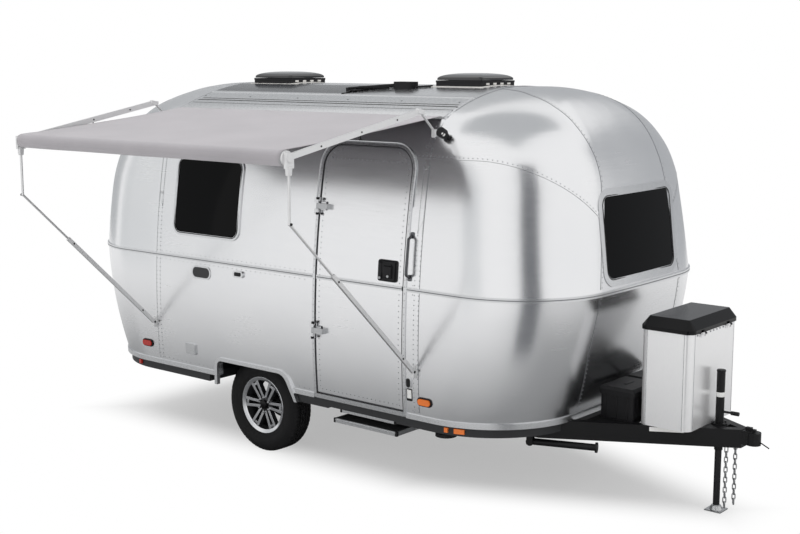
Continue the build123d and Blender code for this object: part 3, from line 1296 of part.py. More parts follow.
def build_step():
    brackets, upper_links, lower_links = [], [], []
    treads = {}
    for sign in (-1, 1):
        r, back = STEP_HANGER
        hang = side_plate(0, STEP_P, (STEP_PIVOT_Y + 2 * CLEAR, STEP_PIVOT_Z), r, sign)
        x = STEP_X0 if sign < 0 else STEP_X1 - STEP_PLATE
        y0, y1 = STEP_PIVOT_Y - r, STEP_PIVOT_Y + back
        hang = hang + box(x, x + STEP_PLATE, y0, y1, STEP_PIVOT_Z, STEP_ROOF_Z)
        brackets.append(hang + step_pin(STEP_P, STEP_PIN_R, 0, -1, sign))
        bores = step_pin(STEP_P, STEP_PIN_R + PIN_FIT, 6, -6, sign)
        bores = bores + step_pin(STEP_Q, STEP_PIN_R + PIN_FIT, 6, -6, sign)
        upper_links.append(side_plate(-1, STEP_P, STEP_Q, STEP_LINK_R, sign) - bores)
        bores = step_pin(STEP_R2, STEP_PIN_R + PIN_FIT, 6, -6, sign)
        bores = bores + step_pin(STEP_Q, STEP_PIN_R + PIN_FIT, 6, -6, sign)
        lower_links.append(side_plate(1, STEP_Q, STEP_R2, STEP_LINK_R, sign) - bores)
        for name, layer, pin, y0, z0, arm_z in TREADS:
            arm = side_plate(layer, pin, (STEP_ARM_Y, z0 + arm_z), STEP_ARM_R, sign)
            treads[(name, sign)] = arm + step_pin(pin, STEP_PIN_R, max(layer, 1), min(layer, 1), sign)
    for name, layer, pin, y0, z0, arm_z in TREADS:
        inner = STEP_PLATE - layer * STEP_PITCH
        x0, x1, y1, z1 = STEP_X0 + inner, STEP_X1 - inner, STEP_TREAD_BACK_Y, z0 + STEP_TREAD_H
        t = STEP_TREAD_T
        tread = box(x0 - STEP_PLATE, x1 + STEP_PLATE, y0, y1, z0, z1)
        tread = tread - box(x0 + t, x1 - t, y0 + t, FAR, 0, z1 - STEP_TREAD_TOP_T)
        save("step_tread_" + name, tread + treads[(name, -1)] + treads[(name, 1)])
    save("step_link_upper", *upper_links)
    save("step_link_lower", *lower_links)
    return brackets


# ---- waste outlet under the floor, with its cap ---------------------------


def build_drain():
    pipe = rod((DRAIN_X, DRAIN_Y, DRAIN_LOW_Z), (DRAIN_X, DRAIN_Y, SILL_Z - BELLY_DROP), DRAIN_R)
    cap = rod((DRAIN_X, DRAIN_Y, DRAIN_LOW_Z), (DRAIN_X, DRAIN_Y, DRAIN_LOW_Z + DRAIN_CAP_T), DRAIN_CAP_R)
    save("drain_outlet", pipe + cap)


# ---- lamps and small wall fittings --------------------------------------
# side, centre x, centre z, width, height, corner radius, how far it stands out
MARKERS = ((-1, 1790.0, 743.0, 104.0, 44.0, 20.0, 18.0),
           (1, 1790.0, 743.0, 104.0, 44.0, 20.0, 18.0),
           (-1, -1110.0, 757.0, 104.0, 44.0, 20.0, 18.0),
           (1, -1110.0, 757.0, 104.0, 44.0, 20.0, 18.0))
FITTINGS = (("badge_plate", -440.0, 1410.0, 215.0, 104.0, 50.0, 5.0),
            ("door_catch", -20.0, 1440.0, 110.0, 52.0, 25.0, 14.0),
            ("outlet_hood", -580.0, 780.0, 110.0, 90.0, 10.0, 16.0),
            ("inlet_cap", 1656.0, 862.0, 42.0, 74.0, 20.0, 12.0),
            ("blank_label", 1656.0, 775.0, 48.0, 84.0, 8.0, 1.5))

# y from, y to, z from, z to, corner radius, how far it stands out, what it is
TAIL_PADS = ((-700.0, -520.0, 860.0, 1010.0, 30.0, 16.0, "lamp"),
             (520.0, 700.0, 860.0, 1010.0, 30.0, 16.0, "lamp"),
             (-160.0, 160.0, 800.0, 970.0, 12.0, 5.0, "plate"))


# end of the body, degrees round its corner, length
SKIRT_LAMPS = ((NOSE, 10.0, 26.0),
               (NOSE, 18.0, 74.0),
               (TAIL, 11.0, 30.0))


def build_lamps():
    lamps = []
    for side, x, z, w, h, r, proud in MARKERS:
        lamps.append(skin_pad(side, x - w / 2, x + w / 2, z - h / 2, z + h / 2, r, proud))
    pads = []
    for name, x, z, w, h, r, proud in FITTINGS:
        pads.append(skin_pad(-1, x - w / 2, x + w / 2, z - h / 2, z + h / 2, r, proud))
    tail_skin = CAPS_OUT[(TAIL, False)]
    for y0, y1, z0, z1, r, proud, group in TAIL_PADS:
        prism = rounded_hole(y0, y1, z0, z1, r, END_PLANE[-1], FAR)
        group_list = lamps if group == "lamp" else pads
        group_list.append((lower_form(TAIL, -proud) - tail_skin) & prism)
    save("wall_fittings", *pads)

    rc = CORNER_R - BELLY_INSET
    skirt_z = SILL_Z - BELLY_DROP / 2
    low = []
    for end, angle, w in SKIRT_LAMPS:
        cx, b = end.turns(SILL_Z, BELLY_INSET, False)[0]
        a = radians(angle)
        for sign in (-1, 1):
            out = Vector(end.sign * sin(a), sign * cos(a), 0)
            foot = Vector(end.sign * cx, sign * (b - rc), skirt_z)
            plane = Plane(origin=foot + out * rc, x_dir=(-out.Y, out.X, 0), z_dir=out)
            low.append(plane * Pos(0, 0, SKIRT_LAMP_OUT) * Box(w, SKIRT_LAMP_H, SKIRT_LAMP_T))
    belly = plan_slab(SILL_Z - BELLY_DROP, SILL_Z, BELLY_INSET, SILL_Z)
    save("marker_lamps", *(lamps + [lamp - belly for lamp in low]))

    x, z = PORCH_X, PORCH_Z
    out = Vector(0, -cos(radians(PORCH_TILT)), sin(radians(PORCH_TILT)))
    root = Vector(x, PORCH_SINK - half_width(z), z)
    neck, tip = root + out * PORCH_NECK, root + out * PORCH_REACH
    lamp = rod(root, neck, PORCH_NECK_R) + rod(neck, tip, PORCH_R)
    save("porch_lamp", lamp - middle_form(-SEAT, x - PORCH_REACH, x + PORCH_REACH))


def main():
    build_shell()
    leaf_belt = build_belt()
    frame = build_frame()
    build_sill(frame)
    build_floor(frame)
    build_windows()
    build_door(leaf_belt)
    build_grab()
    build_axle()
    build_wheels()
    build_awning()
    build_roof()
    build_coupler()
    build_jack()
    build_chains()
    build_gas()
    build_batteries()
    save("underbody_brackets", *(build_stabilisers() + build_step()))
    build_drain()
    build_lamps()


main()
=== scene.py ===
"""Looks for the travel caravan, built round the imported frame. Metres, +X forward, +Y street side, +Z up."""
import math

import bpy
from mathutils import Matrix, Vector, noise
from mathutils.bvhtree import BVHTree


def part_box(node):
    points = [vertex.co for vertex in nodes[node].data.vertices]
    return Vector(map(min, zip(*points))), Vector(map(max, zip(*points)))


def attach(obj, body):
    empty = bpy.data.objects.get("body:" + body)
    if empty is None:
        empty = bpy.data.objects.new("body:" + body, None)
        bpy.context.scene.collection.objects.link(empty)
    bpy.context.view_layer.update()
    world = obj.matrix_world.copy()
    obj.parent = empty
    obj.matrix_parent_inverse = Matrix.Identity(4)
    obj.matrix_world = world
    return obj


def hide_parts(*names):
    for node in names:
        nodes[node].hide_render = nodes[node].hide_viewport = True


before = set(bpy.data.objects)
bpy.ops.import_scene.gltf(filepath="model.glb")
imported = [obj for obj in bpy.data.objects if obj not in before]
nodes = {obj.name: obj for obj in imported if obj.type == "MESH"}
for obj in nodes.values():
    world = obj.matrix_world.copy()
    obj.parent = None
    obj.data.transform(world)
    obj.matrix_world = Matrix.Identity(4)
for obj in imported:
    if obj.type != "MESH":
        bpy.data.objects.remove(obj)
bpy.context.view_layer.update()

# ---- camera, studio -----------------------------------------------------
CAMERA_AT = Vector((7.115, -7.980, 3.065))
CAMERA_AZIMUTH = math.radians(39.375)
CAMERA_DOWN = math.radians(9.141)
CAMERA_LENS = 58.31


def linear(code):
    """sRGB hex code to the linear colour that the shaders want"""
    values = [int(code[i:i + 2], 16) / 255 for i in (1, 3, 5)]
    return [v / 12.92 if v <= 0.04045 else ((v + 0.055) / 1.055) ** 2.4 for v in values] + [1.0]


def add(tree, kind, links=(), **settings):
    """adds one node with its settings; links pairs an input with a value or another node's output"""
    made = tree.nodes.new("ShaderNode" + kind)
    for key, value in settings.items():
        setattr(made, key, value)
    for key, value in links:
        if isinstance(value, bpy.types.NodeSocket):
            tree.links.new(value, made.inputs[key])
        else:
            made.inputs[key].default_value = value
    return made


def calc(tree, operation, *values):
    """output of one maths node"""
    return add(tree, "Math", list(enumerate(values)), operation=operation).outputs[0]


def ramp(tree, value, low, high, start, end, **settings):
    """carries a value from the range low..high to start..end"""
    links = [(0, value), (1, low), (2, high), (3, start), (4, end)]
    return add(tree, "MapRange", links, **settings).outputs[0]


def colour_between(tree, share, first, second):
    links = [(0, share), (6, linear(first)), (7, linear(second))]
    return add(tree, "Mix", links, data_type="RGBA").outputs[2]


def bare_material(name):
    material = bpy.data.materials.new(name)
    material.use_nodes = True
    material.node_tree.nodes.clear()
    return material, material.node_tree


def linked_object(name, points, faces):
    mesh = bpy.data.meshes.new(name)
    mesh.from_pydata(points, [], faces)
    made = bpy.data.objects.new(name, mesh)
    bpy.context.scene.collection.objects.link(made)
    return made


def aimed(place, out):
    """frame at a place with its Z along out"""
    return Matrix.Translation(place) @ out.to_track_quat("Z", "Y").to_matrix().to_4x4()


def set_camera():
    data = bpy.data.cameras.new("camera")
    data.sensor_width = 36.0
    data.lens = CAMERA_LENS
    data.clip_end = 200.0
    camera = bpy.data.objects.new("camera", data)
    camera.location = CAMERA_AT
    camera.rotation_euler = (math.pi / 2 - CAMERA_DOWN, 0, CAMERA_AZIMUTH)
    bpy.context.scene.collection.objects.link(camera)
    bpy.context.scene.camera = camera
    bpy.context.scene.view_settings.view_transform = "Standard"


def area_lamp(name, at, toward, size, power):
    data = bpy.data.lights.new(name, "AREA")
    data.shape = "RECTANGLE"
    data.size, data.size_y = size
    data.energy = power
    lamp = bpy.data.objects.new(name, data)
    lamp.location = at
    lamp.rotation_euler = (Vector(toward) - Vector(at)).to_track_quat("-Z", "Y").to_euler()
    lamp.visible_glossy = False
    bpy.context.scene.collection.objects.link(lamp)


def reflected_only(name, points, faces, shade):
    """plain card that only shows in metal and glass"""
    card = linked_object(name, points, faces)
    material, tree = bare_material(name)
    glow = add(tree, "Emission", [("Color", linear(shade))])
    add(tree, "OutputMaterial", [("Surface", glow.outputs[0])])
    card.data.materials.append(material)
    card.visible_camera = False
    card.visible_diffuse = False
    card.visible_shadow = False


def studio_card(name, azimuth, distance, width, low, high, shade, steps=8):
    """curved card standing round the set, centred at an azimuth that is counted from +X"""
    points = []
    for i in range(steps + 1):
        a = math.radians(azimuth + width * (i / steps - 0.5))
        points += [(distance * math.cos(a), distance * math.sin(a), z) for z in (low, high)]
    faces = [(2 * i, 2 * i + 2, 2 * i + 3, 2 * i + 1) for i in range(steps)]
    reflected_only(name, points, faces, shade)


def mirrored_ray(path):
    """1 for what shows in metal or through glass"""
    return calc(path.id_data, "MAXIMUM", path.outputs["Is Glossy Ray"], path.outputs["Is Transmission Ray"])


def seen_ray(path):
    """1 for what the camera sees, itself or in metal and through glass"""
    return calc(path.id_data, "MAXIMUM", path.outputs["Is Camera Ray"], mirrored_ray(path))


# the shadow's plan: as wide as the body up to its nose, and narrowing along the drawbar
PLAN_MIDDLE_X, PLAN_HALF_X = 0.75, 2.75
PLAN_TAPER_X = (1.4, 3.5)
PLAN_HALF_Y = (0.95, 0.10)


def floor_paint():
    """pale paint that keeps the shadow under the caravan's plan and is plain white away from it; metal and
    glass see it painted darker round the plan, a painted shade
    """
    material, tree = bare_material("studio floor paint")
    place = add(tree, "TexCoord")
    parts = add(tree, "SeparateXYZ", [(0, place.outputs["Object"])])
    half = ramp(tree, parts.outputs[0], *PLAN_TAPER_X, *PLAN_HALF_Y)
    aside = calc(tree, "SUBTRACT", calc(tree, "ABSOLUTE", parts.outputs[1]), half)
    along = calc(tree, "ABSOLUTE", calc(tree, "ADD", parts.outputs[0], -PLAN_MIDDLE_X))
    edge = calc(tree, "MAXIMUM", aside, calc(tree, "SUBTRACT", along, PLAN_HALF_X))
    # to the camera the shadow ends close to the plan; in metal and glass the floor is painted a darker grey
    # round the plan, a painted shade that fades to white over some metres
    close = ramp(tree, edge, -0.32, 0.32, 0.42, 1.0, interpolation_type="SMOOTHSTEP")
    painted_shade_fade = calc(tree, "SUBTRACT", 1.0, calc(tree, "EXPONENT", ramp(tree, edge, 1.2, 16.2, 0.0, -5.0)))
    path = add(tree, "LightPath")
    mirrored = mirrored_ray(path)
    white = add(tree, "Mix", [(0, mirrored), (2, close), (3, painted_shade_fade)])
    share = calc(tree, "MULTIPLY", white.outputs[0], seen_ray(path))
    # metal and glass see the floor paint in a darker grey: painted shade
    paint = add(tree, "BsdfDiffuse", [("Color", colour_between(tree, mirrored, "#fbfbfb", "#a3a4a5"))])
    glow = add(tree, "Emission", [("Color", linear("#ffffff"))])
    mixed = add(tree, "MixShader", [(0, share), (1, paint.outputs[0]), (2, glow.outputs[0])])
    add(tree, "OutputMaterial", [("Surface", mixed.outputs[0])])
    return material


ROOM_STRENGTH, BACKDROP_STRENGTH = 0.78, 1.0
CEILING_POWER = 260.0
FLOOR_REACH = 60.0
# name, azimuth, distance, width in degrees, low, high, shade
STUDIO_CARDS = (
    ("front_flag", 84.0, 16.0, 76.0, -0.5, 12.0, "#b6b8bb"),
    ("corner_flag", -30.0, 4.65, 11.0, 0.0, 4.2, "#6a6c70"),
    ("side_flag", -146.0, 17.0, 22.0, -0.5, 9.0, "#dcdedf"),
    ("back_flag", 146.0, 18.0, 90.0, -0.5, 18.0, "#bdbfc1"),
    ("far_flag", -100.0, 17.0, 22.0, -0.5, 9.0, "#e2e4e5"),
)
ROOF_CARD = ((-0.6, -2.6, 7.0), (3.9, -2.6, 7.0), (3.9, 2.2, 7.0), (-0.6, 2.2, 7.0))


def build_studio():
    world = bpy.data.worlds.new("studio")
    bpy.context.scene.world = world
    world.use_nodes = True
    tree = world.node_tree
    tree.nodes.clear()
    room, backdrop = (add(tree, "Background", [("Color", linear("#ffffff")), ("Strength", strength)])
                      for strength in (ROOM_STRENGTH, BACKDROP_STRENGTH))
    seen = seen_ray(add(tree, "LightPath"))
    mixed = add(tree, "MixShader", [(0, seen), (1, room.outputs[0]), (2, backdrop.outputs[0])])
    add(tree, "OutputWorld", [("Surface", mixed.outputs[0])])

    reach = FLOOR_REACH
    corners = [(-reach, -reach, 0), (reach, -reach, 0), (reach, reach, 0), (-reach, reach, 0)]
    floor = linked_object("floor", corners, [(0, 1, 2, 3)])
    floor.data.materials.append(floor_paint())

    area_lamp("ceiling", (0.5, -1.0, 9.0), (0.5, 0, 0), (9.0, 9.0), CEILING_POWER)
    for card in STUDIO_CARDS:
        studio_card(*card)
    reflected_only("roof_flag", ROOF_CARD, [(0, 1, 2, 3)], "#bfc1c3")


set_camera()
build_studio()


# ---- finishes -----------------------------------------------------------
def started(name):
    material, tree = bare_material(name)
    return material, tree, add(tree, "TexCoord").outputs["Object"]


def finished(tree, links, sockets):
    """ends a material in one shader; sockets holds the further inputs, with _ for a space"""
    links = links + [(key.replace("_", " "), value) for key, value in sockets.items()]
    body = add(tree, "BsdfPrincipled", links)
    add(tree, "OutputMaterial", [("Surface", body.outputs[0])])


def surface(name, light, dark, rough, grain_mm, stretch=(1, 1, 1), metallic=0.0, bump_mm=0.0, **sockets):
    """a finish whose tone, roughness and height vary with one grain: rough is its lowest and highest"""
    material, tree, place = started(name)
    scaled = add(tree, "Mapping", [("Vector", place), ("Scale", tuple(stretch))])
    noise_links = [("Vector", scaled.outputs[0]), ("Scale", 1000.0 / grain_mm), ("Detail", 3.0)]
    grain = add(tree, "TexNoise", noise_links).outputs[0]
    links = [("Base Color", colour_between(tree, grain, dark, light)),
             ("Roughness", ramp(tree, grain, 0.0, 1.0, *rough)), ("Metallic", metallic)]
    if bump_mm:
        bump = add(tree, "Bump", [("Height", grain), ("Distance", bump_mm / 1000), ("Strength", 1.0)])
        links.append(("Normal", bump.outputs[0]))
    finished(tree, links, sockets)
    return material


def rolled_skin(name, light, dark, rough):
    """clear-coated aluminium sheet: a soft mirror with long rolling grain and shallow waves"""
    material, tree, place = started(name)
    along = add(tree, "Mapping", [("Vector", place), ("Scale", (0.9, 0.9, 30.0))])
    grain = add(tree, "TexNoise", [("Vector", along.outputs[0]), ("Scale", 3.0), ("Detail", 5.0)])
    cloud = add(tree, "TexNoise", [("Vector", place), ("Scale", 1.6), ("Detail", 2.0)])
    both = calc(tree, "MULTIPLY", grain.outputs[0], cloud.outputs[0])
    # waves about 400 mm long and under 1 mm high, and small dents about 30 mm wide
    wave = add(tree, "TexNoise", [("Vector", place), ("Scale", 2.6), ("Detail", 1.0)])
    low = add(tree, "Bump", [("Height", wave.outputs[0]), ("Distance", 0.0022), ("Strength", 1.0)])
    dent = add(tree, "TexVoronoi", [("Vector", place), ("Scale", 2.4)])
    pit = ramp(tree, dent.outputs[0], 0.0, 0.07, 0.0, 1.0, interpolation_type="SMOOTHSTEP")
    high = add(tree, "Bump", [("Height", pit), ("Distance", 0.0007), ("Strength", 1.0),
                              ("Normal", low.outputs[0])])
    finished(tree, [("Base Color", colour_between(tree, cloud.outputs[0], dark, light)),
                    ("Roughness", ramp(tree, both, 0.1, 0.45, *rough)),
                    ("Metallic", 1.0), ("Normal", high.outputs[0])], {})
    return material


def split_finish(name, first, second, axis, level, rough, metallic=False, **sockets):
    """two tones that meet at a level along an axis; metallic makes the first one bare metal"""
    material, tree, place = started(name)
    parts = add(tree, "SeparateXYZ", [(0, place)])
    gate = calc(tree, "GREATER_THAN", parts.outputs[axis], level)
    grain = add(tree, "TexNoise", [("Vector", place), ("Scale", 220.0)])
    shine = calc(tree, "SUBTRACT", 1.0, gate) if metallic else 0.0
    finished(tree, [("Base Color", colour_between(tree, gate, first, second)),
                    ("Roughness", ramp(tree, grain.outputs[0], 0.0, 1.0, *rough)),
                    ("Metallic", shine)], sockets)
    return material


def woven_polyester(name, light, dark):
    """awning cloth: a plain weave, drawn at 4 mm instead of 0.5 mm so that it shows, with cloudy fading"""
    material, tree, place = started(name)
    threads = [add(tree, "TexWave", [("Vector", place), ("Scale", 80.0), ("Distortion", 0.4)],
                   bands_direction=way).outputs[1] for way in "XY"]
    weave = calc(tree, "MULTIPLY", *threads)
    cloud = add(tree, "TexNoise", [("Vector", place), ("Scale", 2.2), ("Detail", 4.0)])
    blend = calc(tree, "MULTIPLY_ADD", weave, 0.25, cloud.outputs[0])
    bump = add(tree, "Bump", [("Height", weave), ("Distance", 0.0004), ("Strength", 0.6)])
    finished(tree, [("Base Color", colour_between(tree, blend, dark, light)), ("Roughness", 0.78),
                    ("Sheen Weight", 0.25), ("Sheen Roughness", 0.5), ("Specular IOR Level", 0.25),
                    ("Normal", bump.outputs[0])], {})
    return material


# clear-coated rolled aluminium of the body panels
SKIN = rolled_skin("rolled aluminium sheet", "#efeff0", "#e4e5e7", (0.21, 0.28))
# extruded aluminium mouldings, satin from the die, with lines along their length
EXTRUSION = surface("extruded aluminium", "#e2e3e4", "#cfd0d2", (0.22, 0.34), 6.0, (0.2, 6, 6), 1.0, 0.05)
# lacquered sheet of the gas locker, brighter and less like a mirror than the body
COVER_SHEET = surface("brushed aluminium cover", "#fbfbfb", "#f1f1f2", (0.26, 0.34), 8.0, (3, 3, 0.3), 0.6)
# rivet heads are duller than the sheet, and painted darker as painted shade for the shadow round each small
# head
RIVET_PAINTED_SHADE = surface("bucked aluminium rivet with painted shade", "#b2b4b7", "#96989b", (0.28, 0.4), 3.0, metallic=1.0)
# grey sealant that fills the edge of each lap
SEALANT = surface("butyl sealant", "#7b7d80", "#6a6c6f", (0.5, 0.65), 6.0)
# anodised tube of the awning frame, whiter and more matt
ANODISED = surface("anodised aluminium tube", "#e9e9e9", "#dbdbdc", (0.35, 0.45), 5.0, (0.3, 3, 3), 0.85,
                   bump_mm=0.03)
# tinted toughened glass, nearly opaque
GLASS = surface("tinted toughened glass", "#020203", "#010102", (0.03, 0.05), 40.0, Specular_IOR_Level=0.08)
# powder-coated steel frame: fine orange peel
BLACK_STEEL = surface("powder coated steel", "#151517", "#0e0e0f", (0.38, 0.5), 4.0, bump_mm=0.12,
                      Specular_IOR_Level=0.3)
# zinc plated steel of the chains, foot and small brackets: bright, mottled
ZINC = surface("zinc plated steel", "#c9cacb", "#9fa1a3", (0.22, 0.42), 9.0, metallic=1.0, bump_mm=0.05)
# darkened stainless steel of the grab handle
DARK_STEEL = surface("darkened stainless steel", "#6b6c6f", "#56575a", (0.2, 0.3), 5.0, (4, 4, 0.3), 1.0)
# the door's seal is a paler rubber than the tyres
SEAL_RUBBER = surface("grey extruded door seal", "#5a5b5e", "#4b4c4f", (0.55, 0.7), 4.0)
# tyre rubber: matt, with a fine grain that is darker in its low places
RUBBER = surface("vulcanised rubber", "#232324", "#161617", (0.75, 0.9), 2.5, bump_mm=0.15,
                 Specular_IOR_Level=0.3)
# machined wheel face, turned on a lathe and lacquered
MACHINED = surface("machined alloy", "#e3e4e6", "#cccdd0", (0.16, 0.26), 4.0, (1, 8, 1), 1.0)
# painted pockets between the spokes
POCKET = surface("painted alloy pocket", "#2a2b2d", "#1c1d1f", (0.35, 0.5), 5.0)
CLOTH = woven_polyester("woven polyester awning cloth", "#b7b3b7", "#a3a0a4")
# the same cloth for the underside, painted darker as painted shade for the shade under the drawn-out awning
CLOTH_UNDER_PAINTED_SHADE = woven_polyester("awning cloth underside with painted shade", "#6f6c70", "#605d61")
# moulded ABS with a fine spark-eroded texture
BLACK_ABS = surface("moulded black abs", "#17171a", "#0f0f11", (0.42, 0.58), 2.0, bump_mm=0.1,
                    Specular_IOR_Level=0.3)
WHITE_ABS = surface("moulded white abs", "#eceae6", "#dcdad6", (0.4, 0.5), 8.0, bump_mm=0.05)
GREY_ABS = surface("moulded grey abs", "#a9a9ab", "#98989a", (0.4, 0.5), 8.0, bump_mm=0.05)
# smoked acrylic domes: dark, smooth and shiny
SMOKED = surface("smoked acrylic", "#17181a", "#0d0e10", (0.06, 0.1), 60.0,
                 Coat_Weight=0.5, Coat_Roughness=0.04)
# lid of the gas locker: gloss moulded plastic
GLOSS_BLACK = surface("gloss moulded plastic", "#0c0c0e", "#070708", (0.12, 0.2), 30.0,
                      Specular_IOR_Level=0.2)
# side lamps: amber towards the nose and red towards the tail
LENS = split_finish("moulded acrylic lens", "#b3261a", "#ee7a2a", 0, 0.0, (0.12, 0.2), Coat_Weight=0.4)
SOLAR = surface("laminated solar film", "#3c3e42", "#2c2e32", (0.2, 0.34), 25.0, Coat_Weight=0.3)
LABEL = surface("vinyl label", "#f2f2f0", "#e6e6e4", (0.4, 0.5), 10.0)
DECK = surface("birch plywood", "#c9a878", "#a98658", (0.6, 0.75), 30.0, (0.3, 6, 6))
BELLY = surface("coated aluminium underpan", "#2b2c2e", "#222325", (0.45, 0.6), 20.0)
# jack leg: painted tube above a plated foot
JACK_PAINT = split_finish("painted tube with plated foot", "#c4c5c6", "#161618", 2, 0.040, (0.25, 0.4), True)
BOTTLE = surface("enamelled gas bottle", "#e4e4e2", "#d6d6d4", (0.25, 0.35), 20.0)

NODE_FINISH = {
    SKIN: "shell_curb_wall shell_street_wall shell_roof shell_front_upper shell_front_lower shell_rear_upper "
          "shell_rear_lower door_leaf",
    COVER_SHEET: "gas_cover",
    EXTRUSION: "belt_moulding sill_moulding window_frames door_belt door_frame awning_rails wall_fittings",
    ANODISED: "awning_roller awning_arm_rear awning_arm_front",
    GLASS: "window_panes",
    ZINC: "door_hinge_straps step_tread_upper step_tread_lower safety_chains",
    DARK_STEEL: "grab_handle",
    BLACK_STEEL: "chassis_frame axle_beam hitch_coupler hitch_latch jack_tube underbody_brackets "
                 "step_link_upper step_link_lower stabiliser_front_curb stabiliser_front_street "
                 "stabiliser_rear_curb stabiliser_rear_street",
    JACK_PAINT: "jack_leg",
    BLACK_ABS: "battery_boxes roof_antenna door_latch wheel_wells porch_lamp drain_outlet vent_bases",
    SMOKED: "vent_lid_rear vent_lid_front",
    GLOSS_BLACK: "gas_lid",
    LENS: "marker_lamps",
    SOLAR: "solar_panel",
    DECK: "floor_deck",
    BELLY: "belly_pan",
    BOTTLE: "gas_bottles",
    RUBBER: "tyre_curb tyre_street",
    MACHINED: "rim_curb rim_street",
    CLOTH: "awning_fabric",
}
for finish, names in NODE_FINISH.items():
    for name in names.split():
        nodes[name].data.materials.clear()
        nodes[name].data.materials.append(finish)


# ---- mesh making --------------------------------------------------------
class Shape:
    """points and faces of one piece, gathered from simple runs"""

    def __init__(self):
        self.points, self.faces, self.tones = [], [], []

    def skin(self, rows, around=False, ends=False, closed=False, tone=0):
        """joins rows of points; around closes each row, closed joins last row to first, ends caps the rows"""
        start, n = len(self.points), len(rows[0])
        for row in rows:
            self.points += [tuple(p) for p in row]
        count = len(rows)
        for i in range(count if closed else count - 1):
            a, b = start + i * n, start + (i + 1) % count * n
            for j in range(n if around else n - 1):
                k = (j + 1) % n
                self.faces.append((a + j, a + k, b + k, b + j))
                self.tones.append(tone)
        if ends:
            self.faces.append(tuple(start + j for j in reversed(range(n))))
            self.faces.append(tuple(start + (count - 1) * n + j for j in range(n)))
            self.tones += [tone, tone]

    def turned(self, profile, place, steps=24, closed=False, tone=0):
        """profile of (radius, height) turned round the local Z of place"""
        rows = []
        for i in range(steps):
            a = 2 * math.pi * i / steps
            rows.append([place @ Vector((r * math.cos(a), r * math.sin(a), h)) for r, h in profile])
        self.skin(rows, around=closed, closed=True, tone=tone)

    def rod(self, a, b, r, steps=16):
        """round bar with its edges broken"""
        a, b = Vector(a), Vector(b)
        length = (b - a).length
        e = min(r, length) * 0.15
        self.turned([(0, 0), (r - e, 0), (r, e), (r, length - e), (r - e, length), (0, length)],
                    aimed(a, b - a), steps)

    def tube(self, path, r, steps=8):
        """round bar along a run of points"""
        path = [Vector(p) for p in path]
        rows, side = [], None
        for i, p in enumerate(path):
            way = (path[min(i + 1, len(path) - 1)] - path[max(i - 1, 0)]).normalized()
            side = way.orthogonal() if side is None else side - way * side.dot(way)
            side.normalize()
            up = way.cross(side)
            rows.append([p + (side * math.cos(a) + up * math.sin(a)) * r
                         for a in (2 * math.pi * j / steps for j in range(steps))])
        self.skin(rows, around=True, ends=True)

    def block(self, centre, size, turn=None, taper=1.0):
        """box with its top scaled by taper"""
        turn = turn or Matrix.Identity(3)
        rows = []
        for z, s in ((-0.5, 1.0), (0.5, taper)):
            rows.append([Vector(centre) + turn @ Vector((x * s * size[0], y * s * size[1], z * size[2]))
                         for x, y in ((-0.5, -0.5), (0.5, -0.5), (0.5, 0.5), (-0.5, 0.5))])
        self.skin(rows, around=True, ends=True)

    def make(self, name, finishes, body="trailer", bevel=0.0, sharp=35.0, slot=None):
        piece = linked_object(name, self.points, self.faces)
        mesh = piece.data
        for finish in finishes if isinstance(finishes, list) else [finishes]:
            mesh.materials.append(finish)
        mesh.polygons.foreach_set("material_index", self.tones)
        mesh.validate()
        mesh.shade_smooth()
        mesh.set_sharp_from_angle(angle=math.radians(sharp))
        if bevel:
            edge = piece.modifiers.new("edge", "BEVEL")
            edge.width, edge.segments, edge.limit_method = bevel, 2, "ANGLE"
        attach(piece, body)
        return piece


# ---- finding the skin ---------------------------------------------------
def tree_of(names):
    """search tree of the outer faces of some nodes"""
    points, faces = [], []
    for name in names:
        mesh = nodes[name].data
        start = len(points)
        points += [v.co.copy() for v in mesh.vertices]
        faces += [[start + i for i in p.vertices] for p in mesh.polygons]
    return BVHTree.FromPolygons(points, faces)


SHELL = tree_of([n for n in nodes if n.startswith("shell_")])


def hit(tree, start, way):
    """first place that a ray meets, and the normal there turned toward the ray's start"""
    spot, normal, face, distance = tree.ray_cast(Vector(start), Vector(way).normalized())
    if spot is None:
        return None
    return spot, normal if normal.dot(Vector(way)) < 0 else -normal


def from_side(sign, x, z):
    return (x, sign * 3.0, z), (0, -sign, 0)


def from_end(end, y, z):
    return (end * 5.0, y, z), (-end, 0, 0)


def from_above(x, y):
    return (x, y, 4.0), (0, 0, -1)


def cast_run(tree, shots):
    return [h for h in (hit(tree, start, way) for start, way in shots) if h]


def lifted(run, height):
    return [(place + normal * height, normal) for place, normal in run]


def evenly(run, pitch):
    """spots along a run of (place, normal), a pitch apart"""
    out, carry = [], 0.0
    for (a, na), (b, nb) in zip(run, run[1:]):
        length = (b - a).length
        if length > 0.3:
            carry = 0.0
            continue
        while carry < length:
            t = carry / length
            out.append((a.lerp(b, t), na.lerp(nb, t).normalized()))
            carry += pitch
        carry -= length
    return out


RIVET_R = 0.0047
RIVET_H = 0.0020
RIVET_PITCH = 0.034


def add_rivets(shape, spots, r=RIVET_R):
    for place, normal in spots:
        shape.turned([(r, -0.0004), (r * 0.86, RIVET_H * 0.62), (r * 0.45, RIVET_H), (0, RIVET_H * 1.06)],
                     aimed(place, normal), 8)


def add_strap(shape, run, width, proud, slip=0.0):
    """flat lap strip along a run on the skin, with an optional sideways slip"""
    rows = []
    for i, (place, normal) in enumerate(run):
        way = (run[min(i + 1, len(run) - 1)][0] - run[max(i - 1, 0)][0]).normalized()
        side = way.cross(normal).normalized()
        base = place + side * slip
        rows.append([base - side * width / 2 - normal * 0.001, base - side * width / 2 + normal * proud,
                     base + side * width / 2 + normal * proud, base + side * width / 2 - normal * 0.001])
    shape.skin(rows, around=True, ends=True)


